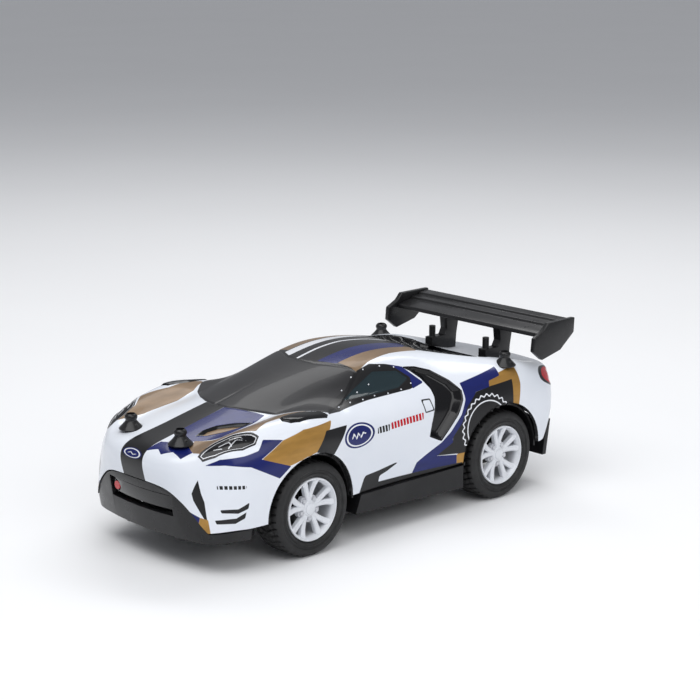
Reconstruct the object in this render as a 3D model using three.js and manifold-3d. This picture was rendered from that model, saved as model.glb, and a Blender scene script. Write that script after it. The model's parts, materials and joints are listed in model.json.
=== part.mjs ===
// A 1:26 toy radio-controlled race car: a thin printed body shell on four posts over a black
// chassis, with a geared rear axle, steered front wheels, a battery bay and a rear wing.
// Units are millimetres. +X is forward, +Y is the car's left and +Z is up.
import * as THREE from "three";
import { mergeVertices } from "three/addons/utils/BufferGeometryUtils.js";
import Module from "manifold-3d";

const wasm = await Module();
wasm.setup();

// ---------------------------------------------------------------- driving dimensions
const GAP = 0.3; // clearance between neighbouring pieces
const ORIGIN_X = 4.3; // from mid-wheelbase to the middle of the whole car
const WHEELBASE = 94;
const FRONT_X = WHEELBASE / 2;
const REAR_X = -WHEELBASE / 2;

const TYRE_R = 16.5;
const TYRE_IN = 25; // the tyre's inboard face, from the centreline
const TYRE_OUT = 38; // the tyre's outboard face
const RIM_R = 11;
const AXLE_R = 1.25;
const AXLE_END = 35.2;
const HUB_Z = TYRE_R;

const ARCH_R = 19.8; // wheel opening in the shell
const LINER_OUT = 19.4;
const LINER_IN = 18.7;
const LINER_Y = 24.4;
const SHELL_T = 1.2;

const FLOOR_Z = 8; // underside of the chassis
const FLOOR_T = 1.6;
const SILL_Y = 37;
const SILL_TOP = 16.5;

const KINGPIN_Y = 27;
const KINGPIN_R = 1.2;
const ARM_PIN_BACK = 6; // steering arm's pin behind the kingpin
const ARM_PIN_IN = 7; // and inboard of it
const RACK_X = 38.2; // the rack's pitch line
const STEER_GEAR = { teeth: 12, module: 0.5 };

const AXLE_GEAR = { teeth: 26, module: 0.5 };
const IDLER_SMALL = { teeth: 12, module: 0.5 };
const IDLER_LARGE = { teeth: 30, module: 0.5 };
const MOTOR_GEAR = { teeth: 10, module: 0.5 };
const PRESSURE_ANGLE = THREE.MathUtils.degToRad(20);
const BACKLASH = 0.16;

const CELL_R = 7.1;
const CELL_LENGTH = 49.5;
const CELL_PITCH = 14.6;
const CELL_Z = 17.6;
const BAY_X = 28.4; // half length of the battery bay
const BAY_Y = 22.6; // half width of the battery bay
const DOOR_T = 1.2;

const FRONT_POST = { x: 83.4, y: 13.3, cap: 42.6 };
const REAR_POST = { x: -53.4, y: 32, cap: 49.6 };
const POST_R = 2.6;
const WING_Y = 38.5;
const STAND_Y = 14;

const COLOUR = {
  shell: [0xeef1f5, 0.22, 0],
  black: [0x17181a, 0.45, 0],
  rubber: [0x1b1b1c, 0.85, 0],
  rim: [0xe6e8ec, 0.35, 0],
  steel: [0xb9bcc0, 0.3, 1],
  brass: [0xc9a45c, 0.35, 1],
  nylon: [0xe9e6d8, 0.5, 0],
  smoked: [0x141416, 0.1, 0],
  red: [0xb3121d, 0.2, 0],
  board: [0x1f6a3c, 0.5, 0],
  cell: [0x2b2d33, 0.35, 0.3],
};

// ---------------------------------------------------------------- solids
const car = new THREE.Group();
car.position.x = -ORIGIN_X;

function solid(geometry) {
  const bare = new THREE.BufferGeometry();
  bare.setAttribute("position", geometry.getAttribute("position"));
  if (geometry.index) bare.setIndex(geometry.index);
  const merged = mergeVertices(bare, 1e-4);
  const faces = [];
  const index = merged.index.array;
  for (let i = 0; i < index.length; i += 3) {
    const [a, b, c] = [index[i], index[i + 1], index[i + 2]];
    if (a !== b && b !== c && a !== c) faces.push(a, b, c);
  }
  const vertProperties = merged.attributes.position.array;
  const build = (list) =>
    new wasm.Manifold(new wasm.Mesh({ numProp: 3, vertProperties, triVerts: new Uint32Array(list) }));
  const made = build(faces);
  return made.volume() >= 0 ? made : build(faces.reverse());
}

function geometryOf(manifold) {
  const mesh = manifold.getMesh();
  const position = new Float32Array(mesh.numVert * 3);
  for (let i = 0; i < mesh.numVert; i++)
    position.set(mesh.vertProperties.subarray(i * mesh.numProp, i * mesh.numProp + 3), i * 3);
  const geometry = new THREE.BufferGeometry();
  geometry.setAttribute("position", new THREE.BufferAttribute(position, 3));
  geometry.setIndex(new THREE.BufferAttribute(mesh.triVerts, 1));
  geometry.computeVertexNormals();
  return geometry;
}

// Adds one named piece to the car; at is where its own origin goes, and turn its rotation about Z.
function piece(name, manifold, look, at = [0, 0, 0], turn = 0, parent = car) {
  const [color, roughness, metalness] = COLOUR[look];
  const material = new THREE.MeshStandardMaterial({ color, roughness, metalness });
  const mesh = new THREE.Mesh(geometryOf(manifold), material);
  mesh.name = name;
  mesh.position.set(...at);
  mesh.rotation.z = turn;
  parent.add(mesh);
  return mesh;
}

const union = (...parts) => parts.reduce((a, b) => a.add(b));
const mirrored = (manifold) => manifold.mirror([0, 1, 0]);
const largest = (manifold) =>
  manifold.decompose().reduce((a, b) => (a.volume() > b.volume() ? a : b));

function block([x0, x1], [y0, y1], [z0, z1]) {
  const geometry = new THREE.BoxGeometry(x1 - x0, y1 - y0, z1 - z0);
  return solid(geometry.translate((x0 + x1) / 2, (y0 + y1) / 2, (z0 + z1) / 2));
}

// Turns geometry made about +Y so that it stands about the axis named.
function aim(geometry, axis) {
  if (axis === "x") geometry.rotateZ(-Math.PI / 2);
  if (axis === "z") geometry.rotateX(Math.PI / 2);
  return geometry;
}

function rod(axis, radius, from, to, [a, b], sides = 16) {
  const geometry = aim(new THREE.CylinderGeometry(radius, radius, to - from, sides), axis);
  const middle = (from + to) / 2;
  const at = { x: [middle, a, b], y: [a, middle, b], z: [a, b, middle] }[axis];
  return solid(geometry.translate(...at));
}

// A turned piece: profile is a closed list of [radius, height] about the axis named.
function turned(axis, profile, sides = 24) {
  const points = [...profile, profile[0]].map(([r, h]) => new THREE.Vector2(r, h));
  return solid(aim(new THREE.LatheGeometry(points, sides), axis));
}

// A flat outline pushed from one height to another along the axis named.
function prism(axis, outline, from, to, curveSegments = 6) {
  const shape = outline instanceof THREE.Shape
    ? outline
    : new THREE.Shape(outline.map(([a, b]) => new THREE.Vector2(a, b)));
  const geometry = new THREE.ExtrudeGeometry(shape, {
    depth: to - from,
    bevelEnabled: false,
    curveSegments,
  });
  if (axis === "x") {
    const basis = new THREE.Matrix4().makeBasis(
      new THREE.Vector3(0, 1, 0),
      new THREE.Vector3(0, 0, 1),
      new THREE.Vector3(1, 0, 0),
    );
    return solid(geometry.applyMatrix4(basis).translate(from, 0, 0));
  }
  if (axis === "y") return solid(geometry.rotateX(Math.PI / 2).translate(0, to, 0));
  return solid(geometry.translate(0, 0, from));
}

// ---------------------------------------------------------------- the body's outer surface
// Half sections from the tail's lower edge to the nose's lower edge. Each runs from the
// centreline over the roof rail, belt and flank to the bottom edge, as x, y, z.
const SECTIONS = [
  "-80 0 24 | -80 10 24 | -80 18 24 | -79.5 22 23.5 | -79 27 22 | -77.5 31.5 20.5 | -74 35 19 | -71 36.8 18",
  "-83.5 0 33 | -83.5 10 33 | -83.2 18 33 | -82.8 22 32.5 | -81.5 28 31 | -78.5 33.5 29 | -74 36.8 25 | -69.5 37.5 18",
  "-85 0 41 | -85 10 41 | -84.6 18 40.8 | -84 22 40.5 | -82.5 28 39.5 | -79 33 37 | -74 37 29 | -68 38 18",
  "-84.5 0 44 | -84.5 10 44 | -84 18 43.8 | -83.5 22 43.7 | -81 27.5 43.2 | -76.5 33.5 40.5 | -71.5 37.5 31 | -66 38.3 18",
  "-76 0 43.6 | -76 10 43.6 | -76 18 43.8 | -75.5 22.5 44.4 | -74 29 45 | -71.5 35 41.5 | -67 38.3 31 | -63.5 38.6 18",
  "-65 0 45.4 | -65 10 45.4 | -65 18 46 | -65 23 47.2 | -64 30 47.8 | -63 36.5 43.3 | -60 38.8 31 | -58 38.8 18",
  "-53 0 48.6 | -53 10 48.7 | -53 18 49.4 | -53 24 50.3 | -53 31 49.8 | -53 37.3 44.5 | -53 39 31 | -53 39 18",
  "-40 0 52.6 | -40 10 52.5 | -40 18.5 52.6 | -40 23.5 52.6 | -40 31 49.6 | -40 37 43.5 | -40 38.6 31 | -40 38.5 18",
  "-28 0 56.4 | -28 10 56.1 | -28 19 55.2 | -28 22.5 53.8 | -28 31 48 | -28 36 41 | -28 37 30 | -28 36.8 17.5",
  "-14 0 58.9 | -14 10 58.6 | -14 18.5 57.2 | -14 22 55.4 | -14 30.5 46.5 | -14 34.8 39.5 | -14 35.5 29 | -14 35.8 17",
  "0 0 59.6 | 0 10 59.2 | 0 18 57.8 | 0 21.8 55.6 | 0 30 45.5 | 0 34 39 | 0 34.8 29 | 0 35.3 17",
  "13 0 58 | 13 10 57.5 | 13 18 55.9 | 13 21.8 53.8 | 13 29.8 45.2 | 13 34.3 39 | 13 35 29 | 13 35.5 17",
  "27 0 55.2 | 27 10 54.5 | 27 18 52.3 | 27 22 50.2 | 27 30.5 45.3 | 27 35.5 39.2 | 27 36.2 29 | 27 36.2 17",
  "40 0 52.2 | 40 10 51.4 | 40 18.5 49 | 40 22.5 47.6 | 40 31.5 47.4 | 40 37.8 41.4 | 40 38.2 29 | 40 38 16.8",
  "50 0 49.7 | 50 10 48.9 | 50 18.5 46.8 | 50 22.5 46.6 | 50 32 48.6 | 50 38.6 42.5 | 50 38.7 29 | 50 38.5 16.5",
  "58 0 47.8 | 58 10 47.2 | 58 18.5 45.2 | 58 22.5 45.4 | 58 31 48.2 | 58 38 41.6 | 58 38.6 28.5 | 58 38.3 16.2",
  "70 0 45.2 | 70 10 44.8 | 70 18 43.6 | 70 22 44 | 70 29.5 46.1 | 70 36.2 39.2 | 70 37.3 27 | 70 37 15.8",
  "81 0 42.6 | 81 10 42.3 | 81 17.5 41.2 | 81 21.3 41.4 | 80 27.5 42.4 | 78 33.4 36.4 | 76 35.6 25.5 | 74 36 15.6",
  "90 0 40.5 | 89.8 10 40.2 | 88.6 17 39.5 | 87.5 20.5 39 | 85.5 25 38 | 82.5 29.8 33 | 80.5 32.8 24.5 | 78.5 34 15.5",
  "94 0 36.5 | 93.6 10 36.3 | 92 16.5 35.8 | 90.7 20 35 | 88.3 24.5 32.5 | 86 28.5 27.5 | 84.4 31.2 21 | 83 32.5 15.5",
  "92.8 0 29.3 | 92.5 9 29.2 | 91.7 14.5 28.4 | 91 18 27 | 89.8 22 24.2 | 88.6 25.6 20.8 | 87.4 28.2 17.5 | 86.2 30 15.3",
].map((row) => row.split("|").map((point) => point.trim().split(" ").map(Number)));

// Control points of a cubic B-spline that passes close to the points given, with one more at each end.
function controls(points) {
  const mix = (f) => points[0].map((_, k) => f(k));
  const inner = points.map((p, i) => {
    if (i === 0 || i === points.length - 1) return p;
    return mix((k) => p[k] - (points[i - 1][k] - 2 * p[k] + points[i + 1][k]) / 6);
  });
  const last = inner.length - 1;
  const first = mix((k) => 2 * inner[0][k] - inner[1][k]);
  const end = mix((k) => 2 * inner[last][k] - inner[last - 1][k]);
  return [first, ...inner, end];
}

function splineAt(control, t) {
  const i = Math.min(Math.floor(t), control.length - 4);
  const f = t - i;
  const weights = [
    (1 - f) ** 3 / 6,
    (3 * f ** 3 - 6 * f ** 2 + 4) / 6,
    (-3 * f ** 3 + 3 * f ** 2 + 3 * f + 1) / 6,
    f ** 3 / 6,
  ];
  return [0, 1, 2].map((k) => weights.reduce((sum, w, n) => sum + w * control[i + n][k], 0));
}

const FULL_SECTIONS = SECTIONS.map((half) => [
  ...half.slice(1).reverse().map(([x, y, z]) => [x, -y, z]),
  ...half,
]);
const SECTION_CONTROLS = FULL_SECTIONS.map(controls);
const U_END = SECTIONS.length - 1;
const V_END = FULL_SECTIONS[0].length - 1;

// A point of the body surface; u runs from tail to nose, and v from the right sill to the left.
const surfacePoint = (u, v) =>
  new THREE.Vector3(...splineAt(controls(SECTION_CONTROLS.map((row) => splineAt(row, v))), u));

// The shell between two offsets from the body surface, as one closed solid.
function shellBetween(outer, inner, rows, columns) {
  const STEP = 0.05;
  const grid = [];
  for (let i = 0; i <= rows; i++)
    for (let j = 0; j <= columns; j++) {
      const u = (U_END * i) / rows;
      const v = (V_END * j) / columns;
      const along = surfacePoint(Math.min(u + STEP, U_END), v);
      along.sub(surfacePoint(Math.max(u - STEP, 0), v));
      const across = surfacePoint(u, Math.min(v + STEP, V_END));
      across.sub(surfacePoint(u, Math.max(v - STEP, 0)));
      grid.push({ point: surfacePoint(u, v), normal: along.cross(across).normalize() });
    }
  const position = [];
  for (const offset of [outer, inner])
    for (const { point, normal } of grid)
      position.push(...point.clone().addScaledVector(normal, offset).toArray());
  const at = (i, j) => i * (columns + 1) + j;
  const faces = [];
  const quad = (a, b, c, d) => faces.push(a, b, c, a, c, d);
  const N = grid.length;
  for (let i = 0; i < rows; i++)
    for (let j = 0; j < columns; j++) {
      const [a, b, c, d] = [at(i, j), at(i + 1, j), at(i + 1, j + 1), at(i, j + 1)];
      quad(a, b, c, d);
      quad(N + d, N + c, N + b, N + a);
    }
  for (let i = 0; i < rows; i++) {
    quad(at(i + 1, 0), at(i, 0), N + at(i, 0), N + at(i + 1, 0));
    quad(at(i, columns), at(i + 1, columns), N + at(i + 1, columns), N + at(i, columns));
  }
  for (let j = 0; j < columns; j++) {
    quad(at(0, j), at(0, j + 1), N + at(0, j + 1), N + at(0, j));
    quad(at(rows, j + 1), at(rows, j), N + at(rows, j), N + at(rows, j + 1));
  }
  const geometry = new THREE.BufferGeometry();
  geometry.setAttribute("position", new THREE.Float32BufferAttribute(position, 3));
  geometry.setIndex(faces);
  return solid(geometry);
}

const ROWS = 26;
const COLUMNS = 22;
// What other pieces are trimmed by, so that they stand clear of the shell.
const shellKeepOut = shellBetween(GAP, -SHELL_T - GAP, ROWS, COLUMNS);
const clearOfShell = (manifold) =>
  manifold.subtract(shellKeepOut).subtract(shellKeepOut.translate([0, 0, -GAP]));

function bodyShell() {
  let shell = shellBetween(0, -SHELL_T, ROWS, COLUMNS);
  for (const x of [FRONT_X, REAR_X])
    for (const [from, to] of [[20, 45], [-45, -20]])
      shell = shell.subtract(rod("y", ARCH_R, from, to, [x, HUB_Z], 40));
  for (const { x, y } of [FRONT_POST, REAR_POST])
    for (const side of [y, -y]) shell = shell.subtract(rod("z", 1.6, 30, 60, [x, side], 12));
  return largest(shell);
}

piece("body_shell", bodyShell(), "shell");

// ---------------------------------------------------------------- body post caps
function postCap({ x, y, cap }) {
  const tall = turned("z", [
    [1.4, -3], [4.3, -3], [4.3, 0.2], [3.5, 0.8], [2.3, 2.6], [2, 4.2], [1.4, 4.2],
  ], 12).translate([x, y, cap]);
  const lugs = block([x - 0.8, x + 0.8], [y - 3, y + 3], [cap + 0.6, cap + 2.2]);
  const bore = rod("z", 1.4, cap - 5, cap + 6, [x, y], 12);
  return tall.add(lugs).subtract(bore).subtract(shellKeepOut);
}
// The part of a trimmed cap that stays above the shell.
const above = (manifold) =>
  manifold.decompose().reduce((a, b) => (a.boundingBox().max[2] > b.boundingBox().max[2] ? a : b));

for (const [end, post] of [["front", FRONT_POST], ["rear", REAR_POST]])
  for (const [side, sign] of [["left", 1], ["right", -1]])
    piece(`post_cap_${end}_${side}`, above(postCap({ ...post, y: sign * post.y })), "black");

// ---------------------------------------------------------------- wheels
function tyre() {
  const half = (TYRE_OUT - TYRE_IN) / 2;
  const bead = RIM_R + GAP;
  return turned("y", [
    [bead, 0.6 - half], [bead + 1, -half], [TYRE_R - 1.4, -half], [TYRE_R, 1.8 - half],
    [TYRE_R, half - 1.8], [TYRE_R - 1.4, half], [bead + 1, half], [bead, half - 0.6],
  ], 24);
}

const SPOKES = 10;
function rim(outward) {
  const half = (TYRE_OUT - TYRE_IN) / 2;
  const barrel = turned("y", [
    [RIM_R - 0.9, 0.6 - half], [RIM_R, 0.6 - half], [RIM_R, half - 0.3], [RIM_R - 0.9, half - 0.3],
    [RIM_R - 1.2, half - 2],
  ], 22);
  let wheel = barrel.add(rod("y", 3, half - 6, half - 1.2, [0, 0], 14));
  for (let i = 0; i < SPOKES; i++) {
    const spoke = block([0, RIM_R - 0.6], [half - 3.4, half - 1.7], [-0.75, 0.75]);
    wheel = wheel.add(spoke.rotate([0, (360 * (i + 0.5)) / SPOKES, 0]));
  }
  wheel = wheel.subtract(rod("y", AXLE_R + GAP, -half, half - 2.4, [0, 0], 12));
  return outward > 0 ? wheel : mirrored(wheel);
}

const WHEEL_Y = (TYRE_IN + TYRE_OUT) / 2;
for (const [end, x] of [["front", FRONT_X], ["rear", REAR_X]])
  for (const [side, sign] of [["left", 1], ["right", -1]]) {
    const wheel = new THREE.Group();
    wheel.position.set(x, sign * WHEEL_Y, HUB_Z);
    piece(`tyre_${end}_${side}`, tyre(), "rubber", [0, 0, 0], 0, wheel);
    piece(`rim_${end}_${side}`, rim(sign), "rim", [0, 0, 0], 0, wheel);
    car.add(wheel);
  }

// ---------------------------------------------------------------- gears
// An involute spur gear's outline about the origin, with a tooth centred on angle phase.
function gearOutline({ teeth, module }, phase) {
  const pitch = (teeth * module) / 2;
  const base = pitch * Math.cos(PRESSURE_ANGLE);
  const tip = pitch + 0.9 * module;
  const root = pitch - 1.25 * module;
  const involute = (r) => {
    const angle = Math.acos(Math.min(1, base / r));
    return Math.tan(angle) - angle;
  };
  const half = Math.PI / (2 * teeth) - BACKLASH / (2 * pitch) + involute(pitch);
  const start = Math.max(base, root);
  const radii = [0, 1].map((t) => start + (tip - start) * t);
  const outline = [];
  for (let i = 0; i < teeth; i++) {
    const centre = phase + (2 * Math.PI * i) / teeth;
    const flank = radii.map((r) => [r, half - involute(r)]);
    flank.unshift([root, half - involute(start)]);
    for (const [r, a] of flank) outline.push([r, centre - a]);
    for (const [r, a] of flank.reverse()) outline.push([r, centre + a]);
  }
  return outline.map(([r, a]) => [r * Math.cos(a), r * Math.sin(a)]);
}
const pitchRadius = ({ teeth, module }) => (teeth * module) / 2;

// Angles of the gear train's centre lines, seen along the axles.
const IDLER_TURN = THREE.MathUtils.degToRad(160);
const MOTOR_TURN = THREE.MathUtils.degToRad(172);
const step = ([x, z], angle, r) => [x + r * Math.cos(angle), z + r * Math.sin(angle)];
const AXLE_AT = [REAR_X, HUB_Z];
const IDLER_AT = step(AXLE_AT, IDLER_TURN, pitchRadius(AXLE_GEAR) + pitchRadius(IDLER_SMALL));
const MOTOR_AT = step(IDLER_AT, MOTOR_TURN, pitchRadius(IDLER_LARGE) + pitchRadius(MOTOR_GEAR));
const halfTooth = ({ teeth }) => Math.PI / teeth;

function gearWheel(gear, phase, [y0, y1], [x, z]) {
  return prism("y", gearOutline(gear, phase), y0, y1).translate([x, 0, z]);
}

const GEAR_Y = [6, 9.2];
const LARGE_Y = [9.8, 12.2];
function axleGear() {
  const wheel = gearWheel(AXLE_GEAR, IDLER_TURN, GEAR_Y, AXLE_AT);
  const boss = rod("y", 2.8, 5.8, 9.6, AXLE_AT, 14);
  return wheel.add(boss).subtract(rod("y", AXLE_R + GAP, 0, 20, AXLE_AT, 12));
}
function idlerGear() {
  const small = gearWheel(
    IDLER_SMALL, IDLER_TURN + Math.PI + halfTooth(IDLER_SMALL), [GEAR_Y[0], LARGE_Y[0] + 0.2], IDLER_AT,
  );
  const large = gearWheel(IDLER_LARGE, MOTOR_TURN, LARGE_Y, IDLER_AT);
  return small.add(large).subtract(rod("y", 1 + GAP, 0, 20, IDLER_AT, 12));
}
function motorPinion() {
  const phase = MOTOR_TURN + Math.PI + halfTooth(MOTOR_GEAR);
  const pinion = gearWheel(MOTOR_GEAR, phase, [9.6, 12.4], MOTOR_AT);
  return pinion.subtract(rod("y", 0.7 + GAP, 0, 20, MOTOR_AT, 10));
}

piece("rear_axle", rod("y", AXLE_R, -AXLE_END, AXLE_END, AXLE_AT, 16), "steel");
piece("axle_gear", axleGear(), "nylon");
piece("idler_gear", idlerGear(), "nylon");
piece("idler_shaft", rod("y", 1, 4, 14.6, IDLER_AT, 12), "steel");
piece("motor_pinion", motorPinion(), "brass");

// ---------------------------------------------------------------- gearbox and motor
const CASE_Y = [4.6, 14];
const CASE_T = 0.9;
function caseOutline(grow) {
  const shape = new THREE.Shape();
  const circles = [[AXLE_AT, 7.3], [IDLER_AT, 8.5], [MOTOR_AT, 4.2]];
  const [[ax, az], ar] = circles[0];
  const [[ix, iz], ir] = circles[1];
  const [[mx, mz], mr] = circles[2];
  const deg = THREE.MathUtils.degToRad;
  shape.absarc(ax, az, ar + grow, deg(-97), deg(65), false);
  shape.absarc(ix, iz, ir + grow, deg(65), deg(125), false);
  shape.absarc(mx, mz, mr + grow, deg(125), deg(235), false);
  shape.absarc(ix, iz, ir + grow, deg(235), deg(263), false);
  shape.closePath();
  return shape;
}
function gearboxHalf([y0, y1], plateSide) {
  const outer = prism("y", caseOutline(CASE_T), y0, y1, 3);
  const [hollow0, hollow1] = plateSide > 0 ? [y0 - 1, y1 - CASE_T] : [y0 + CASE_T, y1 + 1];
  let half = outer.subtract(prism("y", caseOutline(0), hollow0, hollow1, 3));
  for (const [at, r] of [[AXLE_AT, AXLE_R], [IDLER_AT, 1], [MOTOR_AT, 1.4]])
    half = half.subtract(rod("y", r + GAP, y0 - 1, y1 + 1, at, 12));
  return half;
}
piece("gearbox_case_left", gearboxHalf([9.2, CASE_Y[1]], 1), "black");
piece("gearbox_case_right", gearboxHalf([CASE_Y[0], 8.9], -1), "black");

// A small flat-sided motor, its shaft along +Y.
const MOTOR_Y = [-16.5, 3.6];
function motorCan() {
  const can = rod("y", 9.9, ...MOTOR_Y, MOTOR_AT, 28);
  const [x, z] = MOTOR_AT;
  const flats = block([x - 11, x + 11], [MOTOR_Y[0] - 1, MOTOR_Y[1] + 1], [z - 7.5, z + 7.5]);
  const nose = rod("y", 2.6, MOTOR_Y[1] - 1, 4.3, MOTOR_AT, 14);
  const cap = rod("y", 6.5, MOTOR_Y[0] - 2.4, MOTOR_Y[0] + 1, MOTOR_AT, 20);
  const tags = [-5, 5].map((dx) =>
    block([x + dx - 0.9, x + dx + 0.9], [MOTOR_Y[0] - 4.4, MOTOR_Y[0] + 1], [z + 2.5, z + 3.1]));
  const made = union(can.intersect(flats), nose, cap, ...tags);
  return made.subtract(rod("y", 0.7 + GAP, -10, 8, MOTOR_AT, 10));
}
piece("motor_can", motorCan(), "steel");
piece("motor_shaft", rod("y", 0.7, -8, 13.2, MOTOR_AT, 10), "steel");

// ---------------------------------------------------------------- chassis
const FLOOR_TOP = FLOOR_Z + FLOOR_T;
function axleTower(y) {
  const tower = block([REAR_X - 5, REAR_X + 5], [y - 1, y + 1], [FLOOR_TOP - 0.4, HUB_Z + 5.5]);
  return tower.subtract(rod("y", 2.6 + GAP, y - 3, y + 3, AXLE_AT, 16));
}
function batteryBay() {
  const wall = 1.4;
  const outer = block([-BAY_X - wall, BAY_X + wall], [-BAY_Y - wall, BAY_Y + wall], [FLOOR_Z + 0.4, 26.6]);
  const inner = block([-BAY_X, BAY_X], [-BAY_Y, BAY_Y], [FLOOR_Z - 1, 25.4]);
  return outer.subtract(inner);
}
function chassis() {
  const plan = [
    [-77, 22], [-71, 27.5], [-68, 27.5], [-68, 21], [-30, 21], [-28.5, 30], [26.5, 30], [28, 18.2],
    [66, 18.2], [68, 26], [75, 26], [81, 20], [83, 9],
  ];
  const outline = [...plan, ...plan.map(([x, y]) => [x, -y]).reverse()];
  const sill = prism("y", [[26.5, 10], [24, SILL_TOP], [-27.2, SILL_TOP], [-27.2, FLOOR_Z]], 29, SILL_Y);
  let tub = union(
    prism("z", outline, FLOOR_Z, FLOOR_TOP),
    sill,
    mirrored(sill),
    batteryBay(),
    axleTower(19.5),
    axleTower(-19.5),
  );
  const arm = block([FRONT_X - 3, FRONT_X + 3], [17, KINGPIN_Y + 3], [FLOOR_Z + 0.4, FLOOR_TOP]);
  const pillar = rod("z", 2.3, FLOOR_TOP - 0.5, 22.7, [FRONT_X + 8.5, 13], 14);
  const frontPost = union(
    rod("z", POST_R, FLOOR_TOP - 0.5, 39.2, [FRONT_POST.x, FRONT_POST.y], 14),
    rod("z", 1.05, 39, FRONT_POST.cap + 5.6, [FRONT_POST.x, FRONT_POST.y], 10),
  );
  const cradle = block([-74, -58], [-14, -12.5], [FLOOR_TOP - 0.5, 18]).add(
    block([-74, -58], [-2, -0.5], [FLOOR_TOP - 0.5, 18]),
  );
  tub = union(tub, cradle, ...[arm, pillar, frontPost].flatMap((p) => [p, mirrored(p)]));
  // Openings: battery bay, its screw, gearbox, motor, switch slot, trim lever, kingpins.
  tub = tub.subtract(block([-BAY_X, BAY_X], [-BAY_Y, BAY_Y], [FLOOR_Z - 1, 25.4]));
  tub = tub.subtract(block([-35.6, -BAY_X + 1], [-5.4, 5.4], [FLOOR_Z - 1, FLOOR_Z + DOOR_T + GAP]));
  tub = tub.subtract(rod("z", 0.9, FLOOR_Z - 1, 12, [-33, 0], 10));
  tub = tub.subtract(prism("y", caseOutline(CASE_T + 0.5), CASE_Y[0] - 0.5, CASE_Y[1] + 0.5, 4));
  tub = tub.subtract(rod("y", 9.9 + GAP, MOTOR_Y[0] - 4, MOTOR_Y[1] + 0.5, MOTOR_AT, 28)
    .intersect(block([-90, -50], [-22, 5], [MOTOR_AT[1] - 7.5 - GAP, 40])));
  tub = tub.subtract(block([61, 65], [-3, 5.4], [FLOOR_Z - 1, FLOOR_TOP + 1]));
  tub = tub.subtract(rod("z", 1.4, FLOOR_Z - 1, 12, [FRONT_X + 6, 0], 12));
  for (const side of [KINGPIN_Y, -KINGPIN_Y])
    tub = tub.subtract(rod("z", KINGPIN_R + GAP, FLOOR_Z - 1, 12, [FRONT_X, side], 12));
  return tub.subtract(shellKeepOut);
}
piece("chassis", largest(chassis()), "black");

// Black half-round guards inside the wheel openings; the rear pair carries the rear body posts.
function archLiner(x, post) {
  const ring = rod("y", LINER_OUT, LINER_Y, 36.8, [x, HUB_Z], 36).subtract(
    rod("y", LINER_IN, 18, 39, [x, HUB_Z], 36),
  );
  let liner = ring.intersect(block([x - 25, x + 25], [15, 45], [HUB_Z - 0.2, 60]));
  for (const [x0, x1] of [[x - LINER_OUT, x - LINER_IN], [x + LINER_IN, x + LINER_OUT]])
    liner = liner.add(block([x0, x1], [LINER_Y, 29], [FLOOR_TOP + GAP, 18]));
  if (post) {
    const stalk = rod("z", POST_R, HUB_Z + LINER_IN + 0.3, 46.6, [REAR_POST.x, REAR_POST.y], 16);
    const pin = rod("z", 1.05, 46, REAR_POST.cap + 5.2, [REAR_POST.x, REAR_POST.y], 10);
    const bore = rod("y", LINER_IN, 18, 39, [x, HUB_Z], 36);
    liner = liner.add(stalk).add(pin).subtract(bore);
  }
  const trimmed = liner.subtract(shellKeepOut.subtract(
    rod("z", 1.4, 30, 60, [REAR_POST.x, REAR_POST.y], 12)));
  return largest(trimmed);
}
for (const [end, x] of [["front", FRONT_X], ["rear", REAR_X]]) {
  const liner = archLiner(x, end === "rear");
  piece(`arch_liner_${end}_left`, liner, "black");
  piece(`arch_liner_${end}_right`, mirrored(liner), "black");
}

for (const [side, y] of [["left", 19.5], ["right", -19.5]]) {
  const bush = rod("y", 2.6, -1.6, 1.6, [0, 0], 16).subtract(
    rod("y", AXLE_R + GAP, -3, 3, [0, 0], 12),
  );
  piece(`axle_bush_${side}`, bush, "brass", [REAR_X, y, HUB_Z]);
}

// ---------------------------------------------------------------- battery
const CELL_Y = [-CELL_PITCH, 0, CELL_PITCH];
const CELL_NAME = ["right", "middle", "left"];
function cell() {
  const half = CELL_LENGTH / 2;
  return turned("x", [
    [0, -half], [CELL_R - 0.5, -half], [CELL_R, 0.5 - half], [CELL_R, half - 1.6],
    [CELL_R - 0.5, half - 1.1], [2.7, half - 1.1], [2.7, half], [0, half],
  ], 20);
}
class ContactSpiral extends THREE.Curve {
  getPoint(t, target = new THREE.Vector3()) {
    const angle = 2 * Math.PI * 2.5 * t;
    const radius = 4.6 - 2.4 * t;
    return target.set(2.3 * t, radius * Math.cos(angle), radius * Math.sin(angle));
  }
}
function contactSpring() {
  const section = new THREE.Shape().absarc(0, 0, 0.3, 0, 2 * Math.PI);
  const wire = new THREE.ExtrudeGeometry(section, {
    steps: 20, extrudePath: new ContactSpiral(), bevelEnabled: false, curveSegments: 2,
  });
  return solid(wire);
}
CELL_Y.forEach((y, i) => {
  const turn = i === 1 ? Math.PI : 0;
  piece(`battery_cell_${CELL_NAME[i]}`, cell(), "cell", [0, y, CELL_Z], turn);
  const spring = piece(`contact_spring_${CELL_NAME[i]}`, contactSpring(), "steel", [0, y, CELL_Z], turn);
  spring.position.x = i === 1 ? BAY_X - 1 : 1 - BAY_X;
});
for (const [end, x] of [["front", BAY_X - 0.6], ["rear", 0.3 - BAY_X]])
  piece(`contact_plate_${end}`, block([x, x + 0.3], [-21, 21], [12.5, 23]), "steel");

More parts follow.
